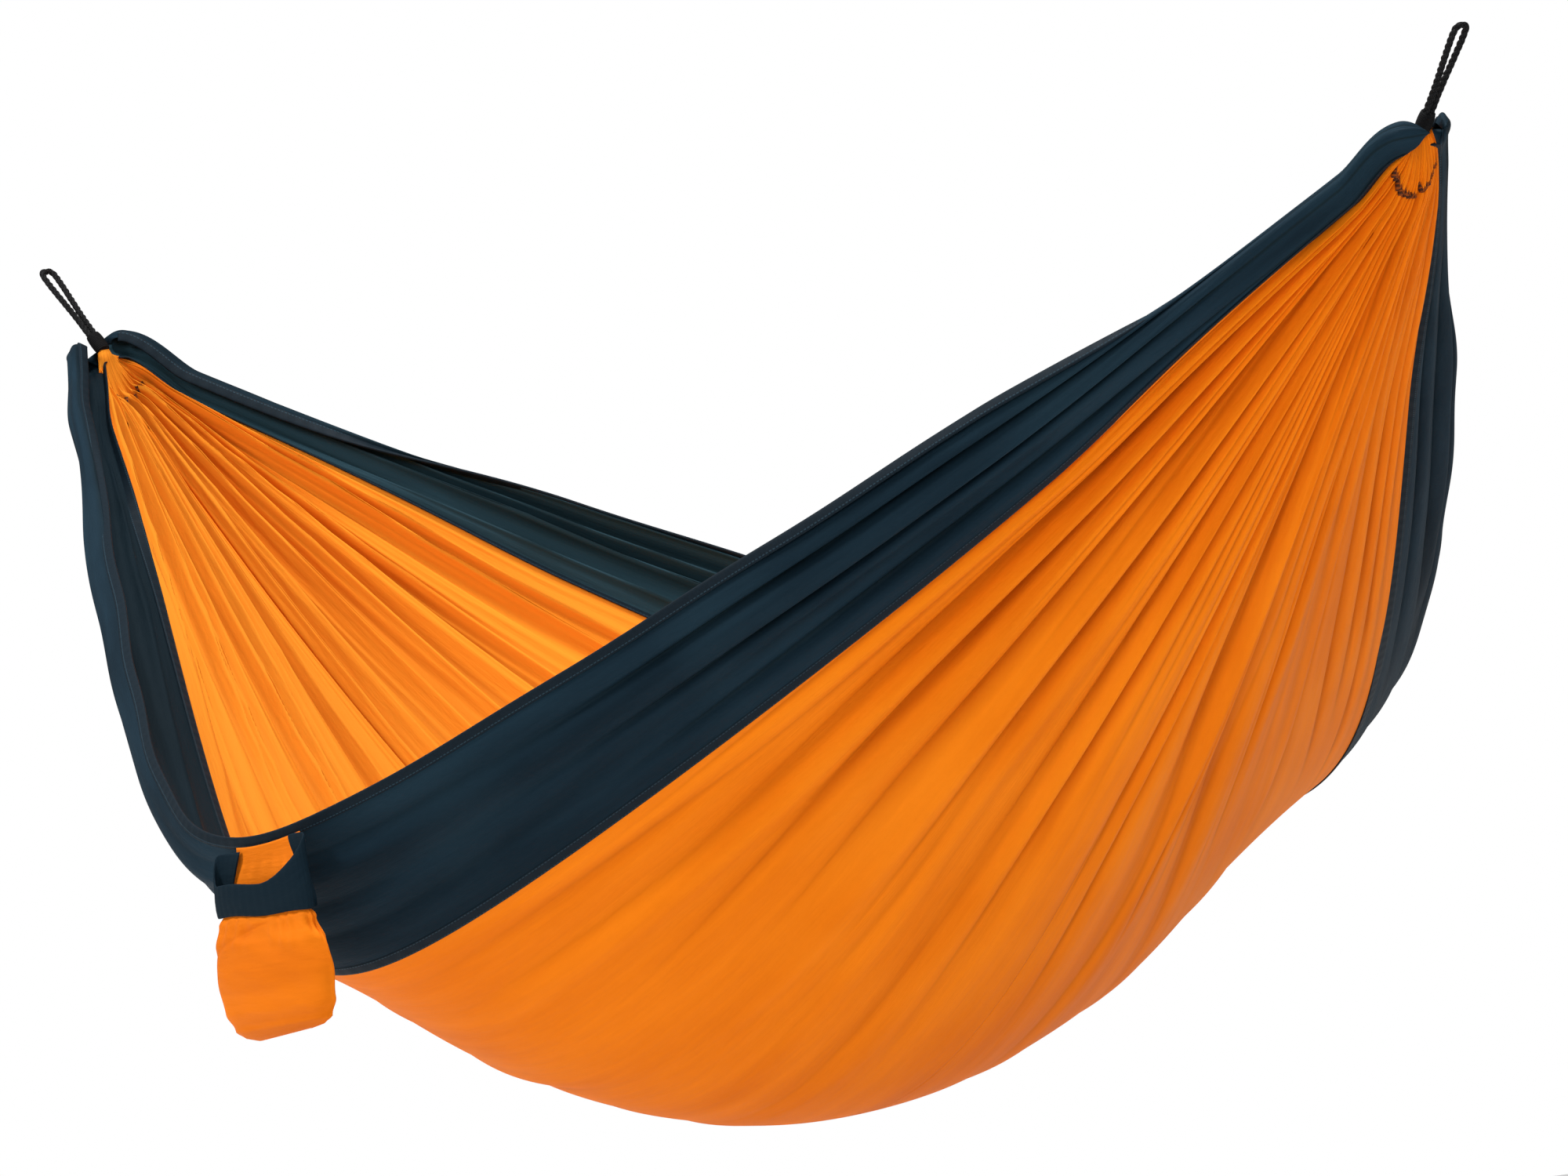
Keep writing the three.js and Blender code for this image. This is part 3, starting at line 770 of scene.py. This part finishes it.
def close_tips(x, w, y, z, end_x):
    """Rounds off the last stretch of each gathered end."""
    out = side_share(w)
    middle_y, middle_z = band_middle(x, w)
    tip = np.clip((np.abs(x) - (end_x - TIP_LENGTH)) / TIP_LENGTH, 0, 1)
    shrink = np.sqrt(np.maximum(1 - tip ** 2, 0.0009))
    y = np.where(out > 0, middle_y + (y - middle_y) * shrink, y * mix(1, shrink, 0.55))
    z = np.where(out > 0, middle_z + (z - middle_z) * shrink, TIP_Z + (z - TIP_Z) * shrink)
    return y, z


def cloth_points(v, w):
    """Points of the cloth; v runs from -1 to 1 along it and w from -1 to 1 across it."""
    v, w = np.broadcast_arrays(v, w)
    end_x = end_of_cloth(w)
    x = end_x * (1.4 * v - 0.4 * v ** 3)
    y, z = open_points(x, w, end_x)
    y, z = roll_ends(x, w, y, z)
    y, z = close_tips(x, w, y, z, end_x)
    return np.stack([x, np.where(w < 0, -y, y), z + THROAT_Z], -1)


def cloth_rows():
    return np.linspace(-1, 1, ROWS)[:, None]


def valleys(height, reach, scale):
    """How far each point lies below the cloth beside it, 0 to 1."""
    padded = np.pad(height, ((0, 0), (reach, reach)), mode="edge")
    total = np.cumsum(np.pad(padded, ((0, 0), (1, 0))), axis=1)
    mean = (total[:, 2 * reach + 1:] - total[:, :-2 * reach - 1]) / (2 * reach + 1)
    return np.clip((mean - height) / scale, 0, 1)


def cloth_piece(name, w_from, w_to, columns):
    """Cloth between two lines, with masks of painted shade for the valleys of its folds and which side each
    point is on.
    """
    v = cloth_rows()
    w = np.linspace(w_from, w_to, columns)[None]
    points = cloth_points(v, w)
    piece = thick_sheet(name, points, paired(v * CLOTH_LENGTH / 2, w * HALF_WIDTH), CLOTH_T)
    height = fold_height(points[..., 0], np.broadcast_to(w, points.shape[:2]))
    wide, narrow = columns // 14, columns // 50
    # Painted shade masks: how far each point lies below the cloth beside it, on the outer face and on the
    # inner face.
    outside_painted_shade = np.maximum(valleys(height, wide, 0.012), 0.8 * valleys(height, narrow, 0.0022))
    inside_painted_shading = np.maximum(valleys(-height, wide, 0.020), 0.6 * valleys(-height, narrow, 0.0030))
    layers = [(outside_painted_shade, 0.0), (inside_painted_shading, 1.0)]
    if w_to > w_from:
        layers.reverse()
    for key, values in (("painted_fold_shade", [np.asarray(painted_fold_shade).ravel() for painted_fold_shade, _ in layers]),
                        ("inner", [np.full(height.size, inner) for _, inner in layers])):
        attribute = piece.data.attributes.new(key, "FLOAT", "POINT")
        attribute.data.foreach_set("value", np.concatenate(values))
    return piece


def strip(name, v, w, step_v, step_w, wide, high):
    """Sewn strip that follows the cloth through v, w; the steps point across it.

    wide and high give the outline of its section."""
    middle = cloth_points(v, w)[:, 0]
    beside = cloth_points(v + step_v, w + step_w)[:, 0]
    along = unit(np.gradient(middle, axis=0))
    across = square_to(along, beside - middle)
    rings = section_rings(middle, across, np.cross(along, across), wide, high)
    return swept(name, rings, uv=paired(run_along(middle)[:, None], wide[None]))


def rounded_flat(half_width, half_thickness, sides=12):
    """Section of a flat strip with rounded edges."""
    angle = around(sides, 0.5)
    wide = np.sign(np.cos(angle)) * np.abs(np.cos(angle)) ** 0.5 * half_width
    high = np.sign(np.sin(angle)) * np.abs(np.sin(angle)) ** 0.5 * half_thickness
    return wide, high


def make_bed(materials):
    for name, side in (("near", -1), ("far", 1)):
        half = cloth_piece(f"center_panel_{name}_half", 0, side * SEAM_W, CENTER_COLUMNS)
        dress(half, materials["orange"])
        panel = cloth_piece(f"{name}_side_cloth", side * SEAM_W, side * 1.0, SIDE_COLUMNS)
        dress(panel, materials[f"{name}_navy"])

        rows = cloth_rows()[SEWN_FROM:-SEWN_FROM]
        seam = strip(f"{name}_felled_seam", rows, np.array([[side * SEAM_W]]), 0, side * 0.004,
                     *rounded_flat(SEAM_HALF_WIDTH, SEAM_HALF_THICKNESS))
        dress(seam, materials["seam"])
        hem = strip(f"{name}_stitched_hem", rows, np.array([[side * HEM_W]]), 0, side * 0.004,
                    *rounded_flat(HEM_HALF_WIDTH, HEM_HALF_THICKNESS))
        dress(hem, materials["hem"])

        for piece in (half, panel, seam, hem):
            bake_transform(piece)
        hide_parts(f"{name}_side_panel", f"left_{name}_gather", f"right_{name}_gather")
        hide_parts(f"{name}_seam")
        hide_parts(f"{name}_rim_hem")
        if side < 0:
            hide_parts("center_panel", "left_end_channel", "right_end_channel")


def make_channel_seams(materials):
    angle = around(8, 0.5)
    section = CHANNEL_HALF_WIDTH * np.cos(angle), CHANNEL_HALF_THICKNESS * np.sin(angle)
    for name, end in (("left", -1), ("right", 1)):
        w = np.linspace(-SEAM_W * CHANNEL_REACH, SEAM_W * CHANNEL_REACH, 160)[:, None]
        seam = strip(f"{name}_channel_seam", np.full_like(w, end * CHANNEL_V), w, 0.002, 0, *section)
        dress(seam, materials["channel"])
        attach(seam, "bed")


# ---- cord loops ----
CORD_PITCH = 0.021  # length of one turn of the cord's strands


def on_loop(end, along, across):
    """Point of a loop: along its slant from the throat, and across it."""
    return np.array([end * (GATHER_X + along * math.cos(LOOP_TILT)), across,
                     THROAT_Z + along * math.sin(LOOP_TILT)])


def loop_route():
    """Points along and across the slant, from one end in the gather round the eye to the other."""
    apex = LOOP_REACH + CORD_D / 2 * math.cos(math.pi / 8)
    half = [(-0.020, 0.0020), (-0.006, 0.0034), (0.006, 0.0041), (0.014, 0.0041), (0.024, 0.0043),
            (0.036, 0.0049), (0.050, 0.0059), (0.064, 0.0069), (0.078, 0.0078), (0.088, 0.0081),
            (apex - 0.0065, 0.0079), (apex - 0.003, 0.0070), (apex - 0.0009, 0.0056),
            (apex, 0.0040), (apex, 0.0020), (apex, 0.0)]
    return half + [(along, -across) for along, across in reversed(half[:-1])]


def make_loops(materials):
    for name, end in (("left", -1), ("right", 1)):
        points = [on_loop(end, along, across) for along, across in loop_route()]
        route = smooth_path(points, 0.0012)
        loop = twisted_cord(f"{name}_twisted_loop", route, CORD_D, CORD_PITCH)
        dress(loop, materials["rope"])
        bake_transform(loop)
        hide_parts(f"{name}_loop")
        whip = whipping(name, end)
        dress(whip, materials["thread"])
        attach(whip, "bed")
        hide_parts(f"{name}_whipping")


WHIP_FROM, WHIP_TO = -0.026, -0.0015
WHIP_TURNS, WHIP_STEPS = 12, 8
WHIP_RADIUS, WHIP_SWELL, THREAD_RIDGE, WHIP_WIDENING = 0.0058, 0.0016, 0.0007, 1.15


def whipping(name, end):
    """Thread wound round the cord's two legs, each turn a round ridge."""
    along = np.linspace(WHIP_FROM, WHIP_TO, WHIP_TURNS * WHIP_STEPS + 1)
    share = (along - along[0]) / (along[-1] - along[0])
    ridge = np.abs(np.sin(np.pi * np.arange(len(along)) / WHIP_STEPS))
    radius = (WHIP_RADIUS + WHIP_SWELL * np.sin(np.pi * share) ** 0.4) + THREAD_RIDGE * ridge
    radius[[0, -1]] *= 0.45
    angle = around(20)
    across = np.array([0, WHIP_WIDENING, 0])
    lift = np.array([-end * math.sin(LOOP_TILT), 0, math.cos(LOOP_TILT)])
    outline = np.outer(np.cos(angle), across) + np.outer(np.sin(angle), lift)
    rings = [on_loop(end, place, 0) + r * outline for place, r in zip(along, radius)]
    uv = paired(along[:, None], angle[None] * 0.008)
    return swept(f"{name}_thread_whipping", np.array(rings), uv=uv)


# ---- stuff sack ----
RIM_AT_SACK = line_radius(SACK_X, RIM_RADIUS, RIM_BEND)
RIM_Y = -RIM_AT_SACK * math.sin(RIM_ANGLE)
RIM_Z = THROAT_Z - RIM_AT_SACK * math.cos(RIM_ANGLE)
SACK_Y = RIM_Y - SACK_OUT


def sack_point(x, y, z):
    """Point of the sack, from the middle of its mouth at the height of the rim."""
    return (SACK_X + x, SACK_Y + y, RIM_Z + z)


# The pouch from its bottom up: height from the rim, half width and half depth.
POUCH_PROFILE = [(-0.202, 0.040, 0.005), (-0.199, 0.062, 0.011), (-0.190, 0.078, 0.018),
                 (-0.172, 0.088, 0.024), (-0.140, 0.092, 0.026), (-0.108, 0.087, 0.024),
                 (-0.086, 0.077, 0.018), (-0.074, 0.069, 0.0125), (-0.066, 0.067, 0.0120)]
POUCH_X = SACK_X - 0.018
POUCH_BOTTOM, POUCH_TOP = -0.2015, -0.066
SACK_CLOTH_T = 0.0009
FLAT_BACK = 0.48  # depth behind the middle of the pouch, against the depth in front

CUFF_TOP, CUFF_BOTTOM = -0.045, -0.076
CUFF_LEFT_TOP, CUFF_RIGHT_RISE = -0.014, 0.012
CUFF_HALF_WIDTH, CUFF_HALF_DEPTH, CUFF_SIDE_DEPTH = 0.0755, 0.0165, 0.0150
CUFF_HALF_THICKNESS, DRAWCORD_CHANNEL_Z = 0.0019, -0.063

BACK_TOP, BACK_BOTTOM = -0.003, -0.100
BACK_HALF_WIDTH_TOP, BACK_HALF_WIDTH, BACK_RIGHT_CUT = 0.052, 0.0665, 0.012
BACK_Y, BACK_ROUND = 0.0108, 0.0095
SEWN_Y, SEWN_Z = -0.0024, -0.0075  # from the rim's edge to the line where the back is sewn to it


def pouch_size(z):
    """Half width and half depth of the pouch, eased from one row of its profile to the next."""
    heights, widths, depths = np.array(POUCH_PROFILE).T
    share = np.interp(z, heights, range(len(heights)))
    low = np.floor(share).astype(int).clip(0, len(heights) - 2)
    part = smooth(share - low, 0, 1)
    return mix(widths[low], widths[low + 1], part), mix(depths[low], depths[low + 1], part)


def make_sack_body(materials):
    """Pouch with a slack, creased front, a flatter back and small gathers under the cuff."""
    rows, columns = 96, 240
    z = mix(POUCH_BOTTOM, POUCH_TOP, np.linspace(0, 1, rows) ** 0.8)[:, None]
    angle = np.linspace(0, 2 * np.pi, columns, endpoint=False)[None]
    half_w, half_d = pouch_size(z)
    turn = angle / (2 * np.pi)
    gather = 0.0012 * np.sin(22 * angle + 2.4 * ripple(turn * 3, 5)) * smooth(z, -0.120, -0.090)
    gather = gather * smooth(-z, 0.074, 0.082)
    bulges = 0.0055 * ripple(turn * 3 + z * 5, 15) * ripple(z * 12 + turn, 16)
    bulges = bulges * smooth(z, -0.205, -0.180) * smooth(-z, 0.076, 0.105)
    creased = 0.0030 * np.exp(-(np.abs(z + 0.102 - 0.022 * np.cos(angle + 0.6)) / 0.004) ** 1.2)
    side_seam = 0.0030 * np.exp(-(np.sin(angle) / 0.10) ** 2) * smooth(-z, 0.088, 0.12)
    x = (half_w + (gather + bulges) * np.abs(np.cos(angle)) + side_seam) * np.cos(angle)
    back = np.where(np.sin(angle) > 0, mix(1.0, FLAT_BACK, smooth(-z, 0.080, 0.094)), 1.0)
    y = (half_d + gather + bulges * 1.3 - creased) * np.sin(angle) * back
    slope = 0.004 * np.cos(angle) * smooth(-z, 0.10, 0.20)
    points = np.stack(np.broadcast_arrays(POUCH_X + x, SACK_Y + y, RIM_Z + z + slope), -1)
    body = open_bag("sack_pouch", points, SACK_CLOTH_T)
    dress(body, materials["sack"])
    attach(body, "sack")
    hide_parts("sack_body")


def open_bag(name, points, thickness):
    """Bag through rings from its closed bottom to its open top, with an inner layer."""
    rows, columns = points.shape[:2]
    normal = unit(np.cross(np.gradient(points, axis=0), np.roll(points, -1, 1) - np.roll(points, 1, 1)))
    if np.sum(normal * (points - points.mean(axis=(0, 1)))) < 0:
        normal = -normal
    inner = points - normal * thickness
    count = rows * columns
    faces = grid_faces(rows, columns, wrap=True) + grid_faces(rows, columns, count, wrap=True, flip=True)
    top = (rows - 1) * columns
    for j in range(columns):
        k = (j + 1) % columns
        faces.append([top + j, top + k, top + k + count, top + j + count])
    faces.append(list(range(columns))[::-1])
    faces.append([count + j for j in range(columns)])
    uv = paired(np.linspace(0, 0.46, columns)[None], points[..., 2])
    obj = mesh_object(name, np.concatenate([points.reshape(-1, 3), inner.reshape(-1, 3)]), faces,
                      np.concatenate([uv.reshape(-1, 2)] * 2))
    fix_outward(obj)
    return obj


def cuff_top(angle, off_front):
    """Height of the cuff's upper edge: low in front, up to the rim at both sides."""
    right = np.cos(angle)
    rise_from = mix(math.radians(62), math.radians(8), smooth(right, -0.2, 0.2))
    rise = smooth(off_front, rise_from, math.radians(112))
    return mix(CUFF_TOP, CUFF_LEFT_TOP + CUFF_RIGHT_RISE * smooth(right, -0.2, 0.8), rise)


def make_sack_cuff(materials):
    """Navy band round the front and sides of the mouth, a channel for the drawcord."""
    columns, sides = 170, 26
    angle = np.linspace(math.radians(-226), math.radians(46), columns)[:, None]
    section = around(sides)[None]
    off_front = np.abs(angle + np.pi / 2)
    top = cuff_top(angle, off_front)
    middle, tall = (top + CUFF_BOTTOM) / 2, (top - CUFF_BOTTOM) / 2 + 0.001
    s, c = np.sin(section), np.cos(section)
    dz = np.sign(s) * np.abs(s) ** 0.45 * tall
    dr = np.sign(c) * np.abs(c) ** 0.7 * CUFF_HALF_THICKNESS
    turn = angle / (2 * np.pi)
    gather = 0.00025 * np.sin(38 * angle + 2.5 * ripple(turn * 3, 25)) * (0.4 + 0.6 * np.abs(s))
    slack = 0.0016 * ripple(turn * 2.6 + 9 * dz, 26)
    channel = 0.0012 * np.exp(-((middle + dz - DRAWCORD_CHANNEL_Z) / 0.005) ** 2) * np.sign(c)
    aside = smooth(off_front, math.radians(48), math.radians(118))
    half_w = CUFF_HALF_WIDTH + dr + gather + slack + channel
    half_d = mix(CUFF_HALF_DEPTH, CUFF_SIDE_DEPTH, aside) + dr + gather + slack + channel
    wrapped = smooth(off_front, math.radians(100), math.radians(136))
    x = (half_w - 0.019 * wrapped * (dz / tall - 0.25)) * np.cos(angle)
    y = half_d * np.sin(angle) - 0.0037 * wrapped * (1 - s)
    z = middle + dz + 0.0016 * ripple(turn * 2.2, 27)
    rings = np.stack(np.broadcast_arrays(POUCH_X + x, SACK_Y + y, RIM_Z + z), -1)
    cuff = swept("sack_cuff_band", rings, uv=paired(angle * 0.05, dz))
    dress(cuff, materials["cuff_navy_shaded"])
    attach(cuff, "sack")
    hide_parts("sack_cuff")


def make_sack_back(materials):
    """Orange back of the mouth, sewn to the rim and curving into the sides of the pouch."""
    rows, columns = 40, 90
    drop = np.linspace(0, 1, rows)[:, None]
    across = np.linspace(-1, 1, columns)[None]
    z = mix(BACK_TOP, BACK_BOTTOM, drop)
    half_w = mix(BACK_HALF_WIDTH_TOP, BACK_HALF_WIDTH, smooth(drop, 0.0, 0.45))
    half_w = half_w - BACK_RIGHT_CUT * smooth(across, 0.0, 0.6) * (1 - smooth(drop, 0.35, 0.7))
    x = POUCH_X + half_w * across
    curve = BACK_ROUND * (1 - np.sqrt(np.maximum(1 - across ** 2 * 0.96, 0))) * smooth(drop, 0.1, 0.6)
    pull = 0.0011 * np.sin(7 * np.pi * across + 1.3) * smooth(drop, 0.05, 0.3) * (1 - drop)
    y = SACK_Y + BACK_Y - curve + pull
    rim = cloth_points(np.linspace(-0.2, 0.3, 80)[:, None], np.array([[-1.0]]))[:, 0]
    rim_y, rim_z = np.interp(x, rim[:, 0], rim[:, 1]), np.interp(x, rim[:, 0], rim[:, 2])
    sewn = 1 - smooth(drop, 0.0, 0.45)
    y = mix(y, rim_y + SEWN_Y, sewn)
    z = z + (rim_z + SEWN_Z - RIM_Z - BACK_TOP) * sewn
    points = np.stack(np.broadcast_arrays(x, y, RIM_Z + z), -1)
    back = thick_sheet("sack_back_cloth", points, paired(x, z), SACK_CLOTH_T)
    dress(back, materials["sack"])
    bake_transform(back)
    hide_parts("sack_back_wall")


# ---- drawcord and cord lock ----
DRAWCORD_PITCH = 0.006  # length of one turn of its strands
KNOT_Z, KNOT_SIZE, KNOT_RISE, KNOT_CORD_R = -0.1492, 0.00085, 0.0026, 0.00165
SPRING_WIRE_R = 0.00028


def drawcord_route(offset):
    """Points of one strand, from the cuff's end down through the lock to the knot."""
    x = LOCK_X + offset
    return [
        sack_point(-0.080, 0.008 + 1.1 * offset, -0.063),
        sack_point(-0.0835 + 0.5 * offset, 0.0115 + 0.95 * offset, -0.0645),
        sack_point(-0.087 + 0.85 * offset, 0.0165 + 0.6 * offset, -0.070),
        sack_point(x, LOCK_Y, -0.081),
        sack_point(x, LOCK_Y, -0.092),
        sack_point(x, LOCK_Y, LOCK_Z),
        sack_point(x, LOCK_Y, -0.132),
        sack_point(x, LOCK_Y, -0.143),
    ]


def make_drawcord(materials):
    knot = drawcord_knot()
    dress(knot, materials["draw"])
    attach(knot, "sack")
    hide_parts("drawcord_knot")
    for name, offset in (("left", -0.0017), ("right", 0.0017)):
        route = smooth_path(drawcord_route(offset), 0.0008)
        cord = twisted_cord(f"drawcord_strand_{name}", route, DRAWCORD_D, DRAWCORD_PITCH)
        dress(cord, materials["draw"])
        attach(cord, "sack")
        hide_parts(f"drawcord_{name}")


def drawcord_knot():
    """Overhand knot: a trefoil of the drawcord pulled tight."""
    t = np.linspace(0, 2 * np.pi, 120, endpoint=False)
    centre = np.array(sack_point(LOCK_X, LOCK_Y, KNOT_Z))
    x = KNOT_SIZE * (np.sin(t) + 2 * np.sin(2 * t))
    y = KNOT_SIZE * (np.cos(t) - 2 * np.cos(2 * t))
    z = -KNOT_RISE * np.sin(3 * t)
    route = centre + np.stack([x, y, z], 1)
    tangent = unit(np.roll(route, -1, 0) - np.roll(route, 1, 0))
    outward = square_to(tangent, route - centre)
    rings = section_rings(route, outward, np.cross(tangent, outward), *circle(10, KNOT_CORD_R))
    uv = paired(t[:, None] * 0.004, around(10)[None] * 0.0016)
    return swept("drawcord_overhand_knot", rings, closed=True, uv=uv)


def make_lock_spring(materials):
    """Two open turns of wire under the button, which close up when the button is pressed."""
    low, high = (np.array(corner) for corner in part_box("cord_lock_spring"))
    middle = (low + high) / 2
    radius = (high[0] - low[0]) / 2 - SPRING_WIRE_R
    share = np.linspace(0, 1, 120)
    turn = 4 * np.pi * share
    y = mix(low[1] + SPRING_WIRE_R, high[1] - SPRING_WIRE_R, share)
    route = np.stack([middle[0] + radius * np.cos(turn), y, middle[2] + radius * np.sin(turn)], 1)
    _, side, lift = path_frames(route)
    rings = section_rings(route, side, lift, *circle(8, SPRING_WIRE_R))
    uv = paired(turn[:, None] * radius, around(8)[None] * SPRING_WIRE_R)
    spring = swept("cord_lock_wire_spring", rings, uv=uv)
    dress(spring, materials["steel"])
    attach(spring, "cord_lock")
    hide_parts("cord_lock_spring")
    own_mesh(spring)


def finish_lock(materials):
    for node in ("cord_lock_barrel", "cord_lock_plunger"):
        for slot in bpy.data.objects[node].material_slots:
            slot.material = materials["plastic"]


# ---- stage and light ----
FLOOR_RADIUS, FLOOR_DROP, FLOOR_SIDES = 4.5, 0.50, 96
LIGHT_TARGET = (0, 0, -0.6)
LIGHTS = [("key", (-1.8, -4.4, 2.8), 1.4, 222),
          ("fill", (5.0, -2.5, 1.5), 2.6, 95),
          ("top", (0.3, -0.2, 4.2), 2.0, 262)]


def make_stage():
    """Round pale floor under the hanging bed."""
    low = CAD_BOX[0][2] - FLOOR_DROP
    points = np.stack([*circle(FLOOR_SIDES, FLOOR_RADIUS), np.full(FLOOR_SIDES, low)], 1)
    floor = mesh_object("floor", points, [list(range(FLOOR_SIDES))])
    material = bpy.data.materials.new("pale_floor")
    material.use_nodes = True
    shader = material.node_tree.nodes["Principled BSDF"]
    shader.inputs["Base Color"].default_value = (0.86, 0.86, 0.86, 1)
    shader.inputs["Roughness"].default_value = 0.9
    floor.data.materials.append(material)


def area_light(name, position, size, power):
    data = bpy.data.lights.new(name, "AREA")
    data.shape = "DISK"
    data.size = size
    data.energy = power
    light = bpy.data.objects.new(name, data)
    bpy.context.collection.objects.link(light)
    turned = (Vector(LIGHT_TARGET) - Vector(position)).to_track_quat("-Z", "Y")
    light.matrix_world = Matrix.Translation(position) @ turned.to_matrix().to_4x4()


def make_light():
    """Soft light from all round, a white backdrop, and three large lamps."""
    world = bpy.data.worlds.new("studio")
    bpy.context.scene.world = world
    world.use_nodes = True
    tree = world.node_tree
    soft = tree.nodes["Background"]
    soft.inputs["Color"].default_value = (1, 1, 1, 1)
    soft.inputs["Strength"].default_value = 0.31
    seen = tree.nodes.new("ShaderNodeBackground")
    seen.inputs["Color"].default_value = (1, 1, 1, 1)
    seen.inputs["Strength"].default_value = 1.0
    path = tree.nodes.new("ShaderNodeLightPath")
    pick = tree.nodes.new("ShaderNodeMixShader")
    tree.links.new(path.outputs["Is Camera Ray"], pick.inputs[0])
    tree.links.new(soft.outputs[0], pick.inputs[1])
    tree.links.new(seen.outputs[0], pick.inputs[2])
    tree.links.new(pick.outputs[0], tree.nodes["World Output"].inputs["Surface"])
    for lamp in LIGHTS:
        area_light(*lamp)
    bpy.context.scene.view_settings.view_transform = "Standard"


def main():
    make_camera()
    materials = make_materials()
    make_drawcord(materials)
    make_loops(materials)
    make_bed(materials)
    make_channel_seams(materials)
    make_sack_body(materials)
    make_sack_cuff(materials)
    make_sack_back(materials)
    make_lock_spring(materials)
    finish_lock(materials)
    make_stage()
    make_light()


main()
